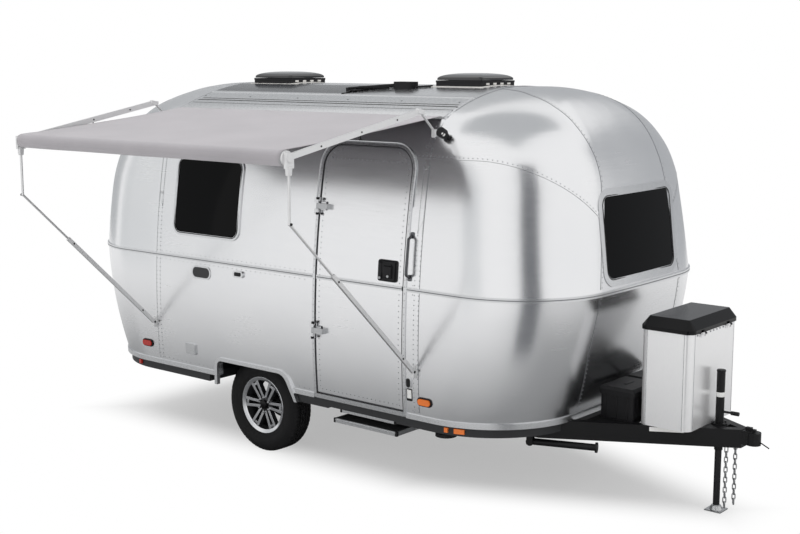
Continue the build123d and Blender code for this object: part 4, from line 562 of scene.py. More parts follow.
def hoop_shots(x, low=0.66, high=2.35, steps=60):
    """rays that meet the body's section at x, from the curb foot over the roof to the street foot"""
    walls = {sign: [from_side(sign, x, low + (high - low) * i / steps) for i in range(steps + 1)]
             for sign in (-1, 1)}
    arch = []
    for i in range(41):
        a = math.radians(-90 + 180 * i / 40)
        arch.append(((x, 2.6 * math.sin(a), 1.9 + 2.6 * math.cos(a)), (0, -math.sin(a), -math.cos(a))))
    return walls[-1] + arch + walls[1][::-1]


# ---- riveted seams ------------------------------------------------------
SEAM_FRONT, SEAM_REAR = 1.726, -0.960
BELT_Z = 1.509
# distance along the roof and half width, then height and half width down the end
SEAM_ON_ROOF = ((0.0, 0.245), (0.363, 0.401), (0.580, 0.436))
SEAM_DOWN = ((2.730, 0.437), (2.600, 0.437), (2.420, 0.425), (2.260, 0.432), (1.800, 0.500), (1.540, 0.548),
             (1.120, 0.574), (0.660, 0.487))
SHOULDER_Z, SHOULDER_SPREAD = 2.415, 78
LAP_W, LAP_PROUD = 0.030, 0.0010
SEALANT_W = 0.0022
# rivet rows above and below the belt and above the sill, and the row under the roof's edge
WALL_ROWS_Z = (1.541, 1.477, 0.664)
EAVES_ROW_Z = 2.475


def along(table, steps=14):
    """places between each pair of rows in a table"""
    for (u0, y0), (u1, y1) in zip(table, table[1:]):
        for i in range(steps):
            yield u0 + (u1 - u0) * i / steps, y0 + (y1 - y0) * i / steps


def seam_shots(sign, end):
    """the seam that runs from the roof down one end, beside its window; sign is the side of the centreline"""
    x0 = SEAM_FRONT if end > 0 else SEAM_REAR
    return ([from_above(x0 + end * u, sign * y) for u, y in along(SEAM_ON_ROOF)]
            + [from_end(end, sign * y, z) for z, y in along(SEAM_DOWN)])


def shoulder_shots(end):
    """round one end at the shoulder: level over the corners, then sinking to the window's upper corners"""
    shots = []
    for angle in range(-SHOULDER_SPREAD, SHOULDER_SPREAD + 1, 2):
        z = SHOULDER_Z - 0.00030 * max(0, 57 - abs(angle)) ** 2
        centre = Vector((1.4 if end > 0 else -0.7, 0, z))
        out = Vector((end * math.cos(math.radians(angle)), math.sin(math.radians(angle)), 0))
        shots.append((centre + out * 3.0, -out))
    return shots


def build_seams():
    rivets, straps, sealant = Shape(), Shape(), Shape()

    def add_lap(run):
        add_strap(straps, run, LAP_W, LAP_PROUD)
        add_strap(sealant, run, SEALANT_W, LAP_PROUD + 0.0005, LAP_W / 2)
        add_rivets(rivets, lifted(evenly(run, RIVET_PITCH), LAP_PROUD))

    for x, end in ((SEAM_FRONT, 1), (SEAM_REAR, -1)):
        run = cast_run(SHELL, hoop_shots(x))
        lap = [(p - Vector((end * 0.0104, 0, 0)), n) for p, n in run]
        add_strap(straps, lap, 0.046, 0.0012)
        add_strap(sealant, lap, SEALANT_W, 0.0017, end * 0.023)
        for slip in (0.008, -0.030):
            row = [(p + Vector((end * slip, 0, 0)), n) for p, n in evenly(run, RIVET_PITCH)]
            add_rivets(rivets, lifted(row, 0.0012))
        for sign in (-1, 1):
            run = cast_run(SHELL, seam_shots(sign, end))
            add_lap([h for h in run if h[0].z > BELT_Z + 0.026])
            add_lap([h for h in run if h[0].z < BELT_Z - 0.026])
        run = cast_run(SHELL, shoulder_shots(end))
        for sign in (-1, 1):
            add_lap([h for h in run if h[0].y * sign > 0.46])
    for sign in (-1, 1):
        for z in WALL_ROWS_Z:
            run = cast_run(SHELL, [from_side(sign, x / 50, z) for x in range(-48, 87)])
            run = [h for h in run if abs(h[1].y) > 0.8 and abs(h[0].y) > 1.0]
            run = [h for h in run if sign > 0 or not 0.74 < h[0].x < 1.66]
            add_rivets(rivets, evenly(run, RIVET_PITCH * 1.5), RIVET_R * 0.8)
        run = cast_run(SHELL, [from_side(sign, x / 50, EAVES_ROW_Z) for x in range(-47, 86)])
        run = [h for h in run if sign > 0 or not 0.72 < h[0].x < 1.66]
        add_rivets(rivets, evenly(run, RIVET_PITCH))
    rivets.make("seam_rivets", RIVET_PAINTED_SHADE, slot="polished_skin")
    straps.make("seam_laps", SKIN, slot="polished_skin")
    sealant.make("seam_sealant", SEALANT, slot="black_plastic")


build_seams()


# ---- rounded plates -----------------------------------------------------
def soft_rectangle(cx, cy, w, d, r, z=0.0, steps=6):
    points = []
    for sx, sy, a0 in ((1, 1, 0), (-1, 1, 90), (-1, -1, 180), (1, -1, 270)):
        for i in range(steps + 1):
            a = math.radians(a0 + 90 * i / steps)
            points.append((cx + sx * (w / 2 - r) + r * math.cos(a),
                           cy + sy * (d / 2 - r) + r * math.sin(a), z))
    return points


def rounded_pad(shape, place, normal, size, r, thick, along=Vector((1, 0, 0))):
    """plate with rounded corners lying on the skin, its length along a direction"""
    up = normal.cross(along).normalized()
    along = up.cross(normal).normalized()
    rows = []
    for grow, lift in ((0.0, 0.0), (0.0, thick * 0.7), (-0.002, thick), (-0.006, thick)):
        ring = soft_rectangle(0, 0, size[0] + 2 * grow, size[1] + 2 * grow, max(r + grow, 0.001), steps=5)
        rows.append([place + along * u + up * v + normal * lift for u, v, w in ring])
    shape.skin(rows, around=True, ends=True)


# ---- belt insert --------------------------------------------------------
BELT_LINE_W, BELT_LINE_PROUD = 0.0065, 0.0006


def build_belt_insert(name, belt, body):
    """vinyl line pressed into the middle of the belt moulding"""
    tree, shape, runs = tree_of([belt]), Shape(), [[]]
    for i in range(1441):
        a = math.radians(i / 4)
        way = Vector((-math.cos(a), -math.sin(a), 0))
        spot = hit(tree, Vector((0.360, 0, BELT_Z)) - way * 5.0, way)
        if runs[-1] and (spot is None or (spot[0] - runs[-1][-1][0]).length > 0.12):
            runs.append([])
        if spot:
            runs[-1].append(spot)
    for run in runs:
        if len(run) > 3:
            add_strap(shape, run, BELT_LINE_W, BELT_LINE_PROUD)
    shape.make(name, SEALANT, body, slot="black_plastic")


build_belt_insert("belt_insert", "belt_moulding", "trailer")
build_belt_insert("door_belt_insert", "door_belt", "door")


# ---- door details -------------------------------------------------------
DOOR_X, DOOR_HEAD_Z, DOOR_R = (0.790, 1.590), 2.452, 0.150
DOOR_FOOT = 0.655
HINGES = (Vector((0.784, -1.263992, 1.12)), Vector((0.784, -1.197612, 2.02)))
# the curb wall's section is an arc: its bulge, its radius, and the height of its widest place
WALL_Y, WALL_R, WALL_WIDEST_Z = 1.234, 6.270, 1.110


def door_outline(grow, foot, steps=10):
    """up the latch side, round the head and down the hinge side, between feet at one height"""
    x0, x1, z1, r = DOOR_X[0] - grow, DOOR_X[1] + grow, DOOR_HEAD_Z + grow, DOOR_R + grow
    rise = [foot + (z1 - r - foot) * i / 12 for i in range(12)]
    points = [(x1, z) for z in rise]
    for cx, a0 in ((x1 - r, 0), (x0 + r, 90)):
        for i in range(steps + 1):
            a = math.radians(a0 + 90 * i / steps)
            points.append((cx + r * math.cos(a), z1 - r + r * math.sin(a)))
    return points + [(x0, z) for z in reversed(rise)]


def closed_outline(grow, foot):
    """the outline with its foot"""
    x0, x1 = DOOR_X[0] - grow, DOOR_X[1] + grow
    return door_outline(grow, foot) + [(x0 + (x1 - x0) * i / 20, foot) for i in range(1, 21)]


def wall_y(z):
    """outside of the curb wall at a height"""
    return -(WALL_Y - WALL_R + math.sqrt(WALL_R ** 2 - (z - WALL_WIDEST_Z) ** 2))


def on_wall(x, z, out=0.0):
    lean = math.asin((z - WALL_WIDEST_Z) / WALL_R)
    normal = Vector((0, -math.cos(lean), math.sin(lean)))
    return Vector((x, wall_y(z), z)) + normal * out, normal


def build_door_edges():
    rivets = Shape()
    run = [on_wall(x, z) for x, z in closed_outline(-0.028, DOOR_FOOT + 0.028)]
    add_rivets(rivets, evenly(run, RIVET_PITCH * 1.15))
    add_rivets(rivets, evenly([on_wall(x / 100, 2.362) for x in range(85, 156)], RIVET_PITCH * 1.2))
    rivets.make("door_rivets", RIVET_PAINTED_SHADE, "door", slot="polished_skin")

    frame_rivets = Shape()
    run = [on_wall(x, z, 0.0072) for x, z in door_outline(0.024, 0.622)]
    add_rivets(frame_rivets, evenly(run, RIVET_PITCH * 1.4), RIVET_R * 0.8)
    frame_rivets.make("door_frame_rivets", RIVET_PAINTED_SHADE, slot="trim_aluminium")

    seal, drip = Shape(), Shape()
    seal.tube([on_wall(x, z, -0.006)[0] for x, z in closed_outline(0.006, DOOR_FOOT - 0.006)], 0.0046)
    drip.tube([on_wall(x, z, 0.0085)[0] for x, z in door_outline(0.040, 0.9, 12) if z > 2.0], 0.0052)
    seal.make("door_seal", SEAL_RUBBER, slot="tyre_rubber")
    drip.make("door_drip_moulding", EXTRUSION, slot="trim_aluminium")


def build_latch():
    latch, locks = Shape(), Shape()
    place, normal = on_wall(1.456, 1.620, 0.010)
    turn = Matrix((Vector((1, 0, 0)), normal.cross(Vector((1, 0, 0))), normal)).transposed()
    for (u, v, lift), size, taper in (((0, 0, 0.004), (0.150, 0.140, 0.012), 0.96),
                                      ((-0.052, 0, 0.013), (0.030, 0.128, 0.012), 0.8),
                                      ((0.014, -0.008, 0.016), (0.078, 0.094, 0.016), 0.86)):
        latch.block(place + turn @ Vector((u, v, lift)), size, turn, taper=taper)
    latch.make("door_latch_shell", BLACK_ABS, "door", bevel=0.004, slot="black_plastic")
    for u, v, lift in ((-0.050, -0.052, 0.018), (0.026, -0.036, 0.023)):
        spot = place + turn @ Vector((u, v, lift))
        locks.rod(spot, spot + normal * 0.006, 0.0095, 20)
        locks.block(spot + normal * 0.0066, (0.002, 0.011, 0.0016), turn)
    locks.make("door_locks", ZINC, "door", slot="steel_plate")


def build_hinges():
    """on each hinge a barrel with black caps, and the plate that holds it to the leaf"""
    caps, barrels, plates = Shape(), Shape(), Shape()
    axis = (HINGES[1] - HINGES[0]).normalized()
    for spot in HINGES:
        for side in (-1, 1):
            caps.rod(spot + axis * side * 0.046, spot + axis * side * 0.063, 0.0125, 20)
        barrels.rod(spot - axis * 0.0185, spot + axis * 0.0185, 0.0112, 20)
        place, normal = on_wall(spot.x + 0.038, spot.z, 0.010)
        rounded_pad(plates, place, normal, (0.052, 0.062), 0.006, 0.005)
    plates.make("hinge_plates", EXTRUSION, "door", slot="trim_aluminium")
    caps.make("hinge_caps", BLACK_ABS, slot="black_plastic")
    barrels.make("hinge_barrels", ZINC, "door", bevel=0.002, slot="steel_plate")


build_door_edges()
build_latch()
build_hinges()


# ---- awning -------------------------------------------------------------
ROLLER = Vector((0, -2.442, 2.478))
AWNING_X = (-0.9635, 1.6845)
RAIL_AT = (-0.914, 2.6765)
ROLL_R = 0.0500


ROLL_TURNS, ROLL_STEPS = 1.6, 36
CLOTH_THICK = 0.0012
DRAWN_STEPS, ACROSS_STEPS = 48, 72


def drawn_out(u, t):
    """sideways pull and sag of the drawn-out cloth, at shares u along the roller and t from rail to roller"""
    span = math.sin(math.pi * t)
    sag = -0.020 * span * (0.55 + 0.45 * math.sin(math.pi * u))
    # creases that fan from the two outer corners of the roller
    for corner in (0.0, 1.0):
        gap = abs(u - corner)
        fan = math.atan2(1.0 - t + 0.02, gap * 1.7 + 0.02)
        sag += 0.0045 * math.exp(-3.2 * (gap + (1 - t))) * span * math.sin(fan * 17.0)
    sag += 0.003 * span * noise.noise(Vector((u * 5.0, t * 2.5, 0.3)))
    return (0.5 - u) * 0.020 * span, sag


def build_cloth():
    top = (ROLLER.y, ROLLER.z + ROLL_R)
    shares = [i / ACROSS_STEPS for i in range(ACROSS_STEPS + 1)]
    rows = []
    for i in range(DRAWN_STEPS):
        t = i / DRAWN_STEPS
        y, z = (RAIL_AT[k] + (top[k] - RAIL_AT[k]) * t for k in (0, 1))
        row = []
        for u in shares:
            pull, sag = drawn_out(u, t)
            row.append((AWNING_X[0] + (AWNING_X[1] - AWNING_X[0]) * u + pull, y, z + sag))
        rows.append(row)
    for i in range(int(ROLL_STEPS * ROLL_TURNS) + 1):
        a = math.radians(90 + 360 / ROLL_STEPS * i)
        r = ROLL_R - 0.0016 * i / ROLL_STEPS * 1.5
        out = Vector((0, math.cos(a), math.sin(a)))
        row = []
        for u in shares:
            swell = 0.0012 * noise.noise(Vector((u * 9.0, (1.0 + i / ROLL_STEPS) * 3.0, 1.7)))
            x = AWNING_X[0] + (AWNING_X[1] - AWNING_X[0]) * u
            row.append(Vector((x, ROLLER.y, ROLLER.z)) + out * (r + swell))
        rows.append(row)
    cloth = Shape()
    cloth.skin(rows)
    # the underside takes the cloth that is painted darker as painted shade
    sheet = cloth.make("awning_cloth", [CLOTH_UNDER_PAINTED_SHADE, CLOTH], sharp=180.0, slot="awning_cloth")
    thick = sheet.modifiers.new("thickness", "SOLIDIFY")
    thick.thickness, thick.offset, thick.material_offset = CLOTH_THICK, 0.0, 1
    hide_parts("awning_fabric")


# the arms' places along the roller, their ends (y, z) at the rail and at the roller, the knee and the foot
ARM_X = (-0.992, 1.713)
ARM_RAIL, ARM_HUB = (-1.187, 2.716), (ROLLER.y, 2.486)
ARM_KNEE_Z, ARM_FOOT_Z, ARM_FOOT_OUT = 2.083, 0.952, 0.024


def build_awning_ends():
    ends = Shape()
    for x, side in zip(AWNING_X, (-1, 1)):
        hub = ROLLER + Vector((x, 0, 0))
        out = Vector((side, 0, 0))
        ends.turned([(0.0, 0.006), (0.040, 0.006), (0.0490, 0.003), (0.0500, -0.001), (0.0500, -0.012)],
                    aimed(hub, out), 40)
        ends.rod(hub + out * 0.004, hub + out * 0.020, 0.022, 24)
    ends.make("roller_end_caps", GREY_ABS, slot="white_plastic")

    heads, bolts = Shape(), Shape()

    def cross_bolt(x, y, z, half, r, steps=12):
        bolts.rod((x - half, y, z), (x + half, y, z), r, steps)

    foot_y = wall_y(ARM_FOOT_Z)
    for x, side in zip(ARM_X, (-1, 1)):
        hub = ROLLER + Vector((x, 0, 0))
        heads.turned([(0, -0.0145), (0.026, -0.0145), (0.031, -0.011), (0.031, 0.011), (0.026, 0.0145),
                      (0, 0.0145)],
                     Matrix.Translation(hub) @ Matrix.Rotation(math.pi / 2, 4, "Y"), 28)
        heads.block(hub + Vector((0, 0, -0.075)), (0.026, 0.030, 0.060), taper=1.25)
        heads.block((x, *ARM_RAIL), (0.026, 0.070, 0.034), Matrix.Rotation(-0.17, 3, "X"))
        heads.block((x, foot_y - 0.004, ARM_FOOT_Z - 0.002), (0.040, 0.012, 0.090))
        knee = Vector((x, ROLLER.y, ARM_KNEE_Z))
        foot = Vector((x, foot_y - ARM_FOOT_OUT, ARM_FOOT_Z))
        cross_bolt(*foot, 0.017, 0.009, 16)
        cross_bolt(x + side * 0.016, *knee.yz, 0.004 * side, 0.009, 16)
        for t in (0.36, 0.9):
            cross_bolt(*knee.lerp(foot, t), 0.013, 0.007)
        for t in (0.22, 0.52, 0.80):
            y, z = (ARM_HUB[k] + (ARM_RAIL[k] - ARM_HUB[k]) * t for k in (0, 1))
            cross_bolt(x, y, z, 0.013, 0.006)
            # the middle bolt holds the locking knob under the arm
            if t == 0.52:
                bolts.rod((x, y, z - 0.018), (x, y, z - 0.046), 0.005, 10)
                bolts.rod((x, y, z - 0.044), (x, y, z - 0.052), 0.012, 14)
    heads.make("arm_castings", ANODISED, bevel=0.003, slot="trim_aluminium")
    bolts.make("arm_bolts", BLACK_STEEL, slot="black_frame")


build_cloth()
build_awning_ends()


# ---- wheels -------------------------------------------------------------
def wheel_place(sign):
    """local Z runs outward from the wheel's inner face"""
    turn = Matrix.Rotation(math.radians(-90 * sign), 4, "X")
    return Matrix.Translation((0, sign * 0.815, 0.372)) @ turn


TYRE_W = 0.225
TREAD_GROOVES = (0.070, 0.098, 0.127, 0.155)
TYRE_PROFILE = ((0.2040, 0.041), (0.2290, 0.031), (0.2300, 0.023), (0.2420, 0.0125), (0.2440, 0.0110),
                (0.2465, 0.0095), (0.2700, 0.0035), (0.2720, 0.0020), (0.2980, 0.0006), (0.3020, 0.0010),
                (0.3230, 0.0045), (0.3250, 0.0060), (0.3420, 0.0140), (0.3500, 0.0200), (0.3580, 0.0280),
                (0.3650, 0.0340), (0.3690, 0.0400), (0.3705, 0.0460))


def tyre_radius(z, step):
    """tread height at a place across the tyre; step counts 2 mm sectors round it"""
    r = 0.3705 + 0.0015 * math.sin(math.pi * (z - 0.046) / 0.133)
    for groove in TREAD_GROOVES:
        if abs(z - groove) < 0.0042:
            return r - 0.0085
    outer = z < TREAD_GROOVES[0] or z > TREAD_GROOVES[-1]
    if outer and step % 5 == 0:
        return r - 0.0065
    if not outer and step % 5 == (2 if z < 0.1125 else 3):
        return r - 0.0050
    return r


def build_tyre(sign, side):
    steps = 300
    across = [0.0480]
    for groove in TREAD_GROOVES:
        across += [groove - 0.0048, groove - 0.0038, groove + 0.0038, groove + 0.0048]
    across += [0.1770]
    place = wheel_place(sign)
    rows = []
    for i in range(steps):
        a = 2 * math.pi * i / steps
        notch = 0.004 if i % 5 == 0 else 0.0
        wall = [(r - (notch if r > 0.357 else 0.0), z) for r, z in TYRE_PROFILE]
        ring = wall + [(tyre_radius(z, i), z) for z in across] + [(r, TYRE_W - z) for r, z in reversed(wall)]
        rows.append([place @ Vector((r * math.cos(a), r * math.sin(a), z)) for r, z in ring])
    tyre = Shape()
    tyre.skin(rows, around=True, closed=True)
    piece = tyre.make("tyre_treaded_" + side, RUBBER, "wheel_" + side, sharp=40.0, slot="tyre_rubber")
    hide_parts("tyre_" + side)


# one leg of a paired spoke from hub to rim: radius, distance from the pair's middle, half width, face height
SPOKE = ((0.048, 0.0190, 0.0110, 0.1795), (0.115, 0.0225, 0.0112, 0.1850), (0.2005, 0.0290, 0.0125, 0.1915))
SPOKE_DEPTH = 0.040


# profiles of (radius, distance from the inner face) of the turned parts
RIM_LIP = ((0.2280, 0.024), (0.2280, 0.031), (0.2030, 0.038), (0.1890, 0.074), (0.1890, 0.160),
           (0.2030, 0.187), (0.2280, 0.194), (0.2280, 0.201), (0.2240, 0.2035), (0.2150, 0.2000),
           (0.2060, 0.1955), (0.1990, 0.1930), (0.1955, 0.1890))
RIM_WELL = ((0.1955, 0.1890), (0.1900, 0.1700), (0.1830, 0.1500), (0.1790, 0.1000), (0.1930, 0.036),
            (0.2190, 0.026), (0.2280, 0.024))
BRAKE_DRUM = ((0, -0.060), (0.128, -0.060), (0.132, -0.056), (0.132, 0.0), (0.120, 0.015), (0.062, 0.020),
              (0.062, 0.105), (0, 0.105))
HUB = ((0, 0.180), (0.030, 0.180), (0.034, 0.176), (0.060, 0.174), (0.076, 0.168), (0.080, 0.160),
       (0.072, 0.128), (0, 0.128))
HUB_CAP = ((0.036, 0.170), (0.036, 0.186), (0.033, 0.192), (0.022, 0.196), (0, 0.197))
NUT = ((0.0125, 0.0), (0.0125, 0.006), (0.0105, 0.008), (0.0105, 0.026), (0.006, 0.031), (0, 0.032))
SPOKES = 6


def build_rim(sign, side):
    place = wheel_place(sign)
    rim = Shape()
    rim.turned(RIM_LIP, place, 72)
    rim.turned(RIM_WELL, place, 72, tone=1)
    rim.turned(BRAKE_DRUM, place, 48, tone=1)
    rim.turned(HUB, place, 48, tone=1)
    for i in range(SPOKES):
        spin = place @ Matrix.Rotation(2 * math.pi * i / SPOKES, 4, "Z")
        for pair in (-1, 1):
            rows = []
            for r, c, w, top in SPOKE:
                back = top - SPOKE_DEPTH
                rows.append([spin @ Vector((r, pair * c + s * w * k, h)) for s, k, h in
                             ((-1, 1.35, back), (-1, 1.0, top), (1, 1.0, top), (1, 1.35, back))])
            start = len(rim.faces)
            rim.skin(rows, around=True, ends=True, tone=1)
            # the two faces that look outward are machined
            rim.tones[start + 1] = rim.tones[start + 5] = 0
        # small machined window ledge between the spokes of a pair
        rim.block(spin @ Vector((0.178, 0, 0.1830)), (0.020, 0.030, 0.010), spin.to_3x3())
    piece = rim.make("wheel_alloy_" + side, [MACHINED, POCKET], "wheel_" + side, bevel=0.0014,
                     slot="wheel_alloy")
    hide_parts("rim_" + side)

    nuts, cap = Shape(), Shape()
    for i in range(SPOKES):
        spin = place @ Matrix.Rotation(2 * math.pi * (i + 0.5) / SPOKES, 4, "Z")
        nuts.turned(NUT, aimed(spin @ Vector((0.058, 0, 0.166)), place.to_3x3() @ Vector((0, 0, 1))), 6)
    nuts.make("wheel_nuts_" + side, ZINC, "wheel_" + side, bevel=0.0006, slot="steel_plate")
    cap.turned(HUB_CAP, place, 40)
    cap.make("wheel_cap_" + side, GLOSS_BLACK, "wheel_" + side, slot="black_plastic")


for wheel_sign, wheel_side in ((-1, "curb"), (1, "street")):
    build_tyre(wheel_sign, wheel_side)
    build_rim(wheel_sign, wheel_side)


# ---- roof ---------------------------------------------------------------
# upper and lower edge of each extruded strip of the awning's fascia, and how proud it stands
FASCIA = ((-0.602, -0.728, 0.005), (-0.743, -0.764, 0.006), (-0.782, -0.824, 0.007), (-0.832, -0.896, 0.007))


def add_band(shape, y0, y1, proud, places=(-0.950, 0.380, 1.712), steps=4):
    """strip lying lengthwise on the roof, laid between y0 and y1 at some places along it"""
    rows = []
    for x in places:
        spots = cast_run(SHELL, [from_above(x, y0 + (y1 - y0) * j / steps) for j in range(steps + 1)])
        rows.append([p - n * 0.0005 for p, n in spots] + [p + n * proud for p, n in reversed(spots)])
    shape.skin(rows, around=True, ends=True)


CABLE_PATHS = (
    ((0.76, -0.300), (0.66, -0.300), (0.60, -0.385), (0.53, -0.345), (0.55, -0.460), (0.47, -0.480),
     (0.50, -0.560), (0.45, -0.585)),
    ((0.74, -0.345), (0.63, -0.375), (0.58, -0.345), (0.56, -0.420), (0.50, -0.440), (0.52, -0.520)),
    ((0.95, -0.300), (1.02, -0.270), (1.06, -0.235), (1.08, -0.225)),
)


# the roof vents' places along the body, the side of their square, and the heights of lid and collar
VENTS = ((-0.640, "rear"), (1.300, "front"))
VENT_SIDE, VENT_FLANGE_AT = 0.420, 0.222
LID_Z, DOME_Z, DOME_RISE, DOME_INSET = 2.9060, 2.9200, 0.037, 0.190
COLLAR_Z = (2.888, 2.9025)


def build_vent_lid(x, end):
    dome = Shape()
    rows = [soft_rectangle(x, 0, side, side, r, z) for side, r, z in
            ((0.408, 0.024, LID_Z), (0.426, 0.030, LID_Z), (0.426, 0.030, DOME_Z))]
    for i in range(1, 9):
        a = math.radians(90 * i / 8)
        inset = DOME_INSET * (1 - math.cos(a))
        rows.append(soft_rectangle(x, 0, VENT_SIDE - 2 * inset * 0.92, VENT_SIDE - 2 * inset,
                                   max(0.030 - inset * 0.1, 0.004), DOME_Z + DOME_RISE * math.sin(a)))
    dome.skin(rows, around=True, ends=True)
    piece = dome.make("vent_dome_" + end, SMOKED, "vent_lid_" + end, sharp=50.0, slot="smoked_acrylic")
    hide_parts("vent_lid_" + end)
    tab = Shape()
    hinge = Vector((x - 0.222, 0, 2.916))
    tab.rod(hinge - Vector((0, 0.013, 0)), hinge + Vector((0, 0.013, 0)), 0.009, 16)
    tab.block(hinge + Vector((0.010, 0, 0.003)), (0.022, 0.026, 0.010))
    tab.make("vent_tab_" + end, BLACK_ABS, "vent_lid_" + end, slot="black_plastic")


def build_vent_base(x, end):
    collar, vanes, flange = Shape(), Shape(), Shape()
    low, high = COLLAR_Z
    collar.skin([soft_rectangle(x, 0, VENT_SIDE + 2 * g, VENT_SIDE + 2 * g, 0.006, z) for g, z in
                 ((-0.004, low), (0.004, low), (0.004, high), (-0.004, high))], around=True, closed=True)
    for i in range(4):
        vanes.block((x + 0.2115, -0.135 + 0.090 * i, 2.880), (0.005, 0.038, 0.014))
    for edge in (-VENT_FLANGE_AT, VENT_FLANGE_AT):
        for shots in ([from_above(x + 0.060 * i, edge) for i in range(-4, 5)],
                      [from_above(x + edge, 0.060 * i) for i in range(-4, 5)]):
            add_strap(flange, cast_run(SHELL, shots), 0.026, 0.005)
    collar.make("vent_collar_" + end, BLACK_ABS, slot="black_plastic")
    vanes.make("vent_vanes_" + end, WHITE_ABS, slot="white_plastic")
    flange.make("vent_flange_" + end, WHITE_ABS, slot="white_plastic")


def build_fascia():
    strips, painted_slot_shade = Shape(), Shape()
    for y0, y1, proud in FASCIA:
        add_band(strips, y0, y1, proud)
    # a dark sheet laid under the strips, seen as thin dark lines in the gaps between them: painted shade for
    # the slots of the rail
    add_band(painted_slot_shade, FASCIA[0][0], FASCIA[-1][1], 0.0012)
    strips.make("awning_fascia", EXTRUSION, bevel=0.0012, slot="trim_aluminium")
    painted_slot_shade.make("awning_fascia_painted_slot_shade", RUBBER, slot="black_plastic")
    screws = Shape()
    run = cast_run(SHELL, [from_above(-0.93 + 0.52 * i, -0.690) for i in range(6)])
    add_rivets(screws, lifted(run, FASCIA[0][2]), 0.007)
    screws.make("rail_screws", BLACK_STEEL, slot="black_frame")


def build_film_and_wiring():
    film = Shape()
    add_band(film, -0.235, -0.585, 0.0030, [-0.956 + 1.411 * i / 24 for i in range(25)], 12)
    piece = film.make("solar_film", SOLAR, sharp=60.0, slot="smoked_acrylic")
    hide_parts("solar_panel")

    cable = Shape()
    for path in CABLE_PATHS:
        places = [(x0 + (x1 - x0) * t, y0 + (y1 - y0) * t)
                  for (x0, y0), (x1, y1) in zip(path, path[1:]) for t in (0.0, 0.34, 0.67)]
        run = cast_run(SHELL, [from_above(x, y) for x, y in places])
        cable.tube([p for p, n in lifted(run, 0.008)], 0.0075)
    cable.make("roof_wiring", BLACK_ABS, sharp=60.0, slot="black_plastic")


for vent in VENTS:
    build_vent_lid(*vent)
    build_vent_base(*vent)
build_fascia()
build_film_and_wiring()


# ---- lamps and fittings -------------------------------------------------
# the drawbar rail that the blank label lies on: ends of its outer face in plan, and the label's place
RAIL_FOOT, RAIL_TIP = Vector((2.376, -0.700, 0)), Vector((3.560, -0.043, 0))
RAIL_LABEL_X, RAIL_LABEL_Z = 3.130, 0.585


def build_fittings():
    bezels = Shape()
    for sign in (-1, 1):
        for x, z in ((1.790, 0.743), (-1.110, 0.757)):
            place, normal = hit(SHELL, *from_side(sign, x, z))
            rounded_pad(bezels, place - normal * 0.001, normal, (0.128, 0.062), 0.028, 0.010)
    bezels.make("lamp_bezels", BLACK_ABS, slot="black_plastic")

    plate, dark, label = Shape(), Shape(), Shape()
    for shape, x, z, out, size, r, thick in (
            (plate, -0.440, 1.410, 0.0045, (0.190, 0.080), 0.038, 0.0016),
            (dark, -0.020, 1.440, 0.012, (0.070, 0.030), 0.010, 0.006),
            (dark, 1.656, 0.862, 0.011, (0.034, 0.064), 0.016, 0.004),
            (dark, 1.656, 0.775, 0.001, (0.050, 0.088), 0.008, 0.0012),
            (label, 1.656, 0.780, 0.0018, (0.038, 0.062), 0.003, 0.0008)):
        rounded_pad(shape, *on_wall(x, z, out), size, r, thick)
    along_rail = (RAIL_TIP - RAIL_FOOT).normalized()
    share = (RAIL_LABEL_X - RAIL_FOOT.x) / (RAIL_TIP.x - RAIL_FOOT.x)
    spot = RAIL_FOOT.lerp(RAIL_TIP, share) + Vector((0, 0, RAIL_LABEL_Z))
    outward = Vector((along_rail.y, -along_rail.x, 0))
    rounded_pad(label, spot, outward, (0.230, 0.030), 0.003, 0.0008, along_rail)
    plate.make("name_plate_blank", POCKET, slot="trim_aluminium")
    dark.make("fitting_insets", BLACK_ABS, slot="black_plastic")
    label.make("blank_labels", LABEL, slot="white_plastic")

    lamp = Shape()
    low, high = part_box("porch_lamp")
    centre = Vector((1.832, (low.y + high.y) / 2 - 0.022, (low.z + high.z) / 2 - 0.006))
    out = Vector((0.70, -0.65, -0.30)).normalized()
    lamp.turned([(0, -0.02), (0.013, -0.02), (0.014, 0.008), (0.010, 0.015), (0, 0.017)], aimed(centre, out))
    lamp.make("porch_lamp_lens", LABEL, slot="white_plastic")


build_fittings()


# ---- hitch end ----------------------------------------------------------
CHAIN_TOP_Z, CHAIN_LINKS = 0.457, 12
LINK_PITCH, LINK_R, LINK_WIRE_R = 0.0354, 0.011, 0.0040
JACK_X = 3.378
LOCKER_X, LOCKER_HALF_Y, LOCKER_R = (2.945, 3.321), 0.343, 0.058
BATTERY_X, BATTERY_Y = 2.7775, 0.183


def add_link(shape, centre, spin):
    """one oval link of round wire"""
    ring = []
    for k in range(24):
        a = 2 * math.pi * k / 24
        end = 1 if math.sin(a) > 0 else -1
        ring.append(Vector((LINK_R * math.cos(a), 0, LINK_R * (math.sin(a) + end))))
    across, rows = Vector((0, 1, 0)), []
    for k, p in enumerate(ring):
        side = (ring[(k + 1) % 24] - ring[k - 1]).normalized().cross(across)
        rows.append([centre + spin @ (p + (side * math.cos(b) + across * math.sin(b)) * LINK_WIRE_R)
                     for b in (2 * math.pi * j / 8 for j in range(8))])
    shape.skin(rows, around=True, closed=True)


def build_chains():
    chain = Shape()
    for sign in (-1, 1):
        for i in range(CHAIN_LINKS):
            centre = Vector((3.470 + 0.009 * sign, sign * 0.052, CHAIN_TOP_Z - i * LINK_PITCH))
            add_link(chain, centre, Matrix.Rotation(math.radians(90.0 * (i % 2) + 45.0), 3, "Z"))
    links = chain.make("chain_links", ZINC, sharp=60.0, slot="steel_plate")
    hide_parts("safety_chains")


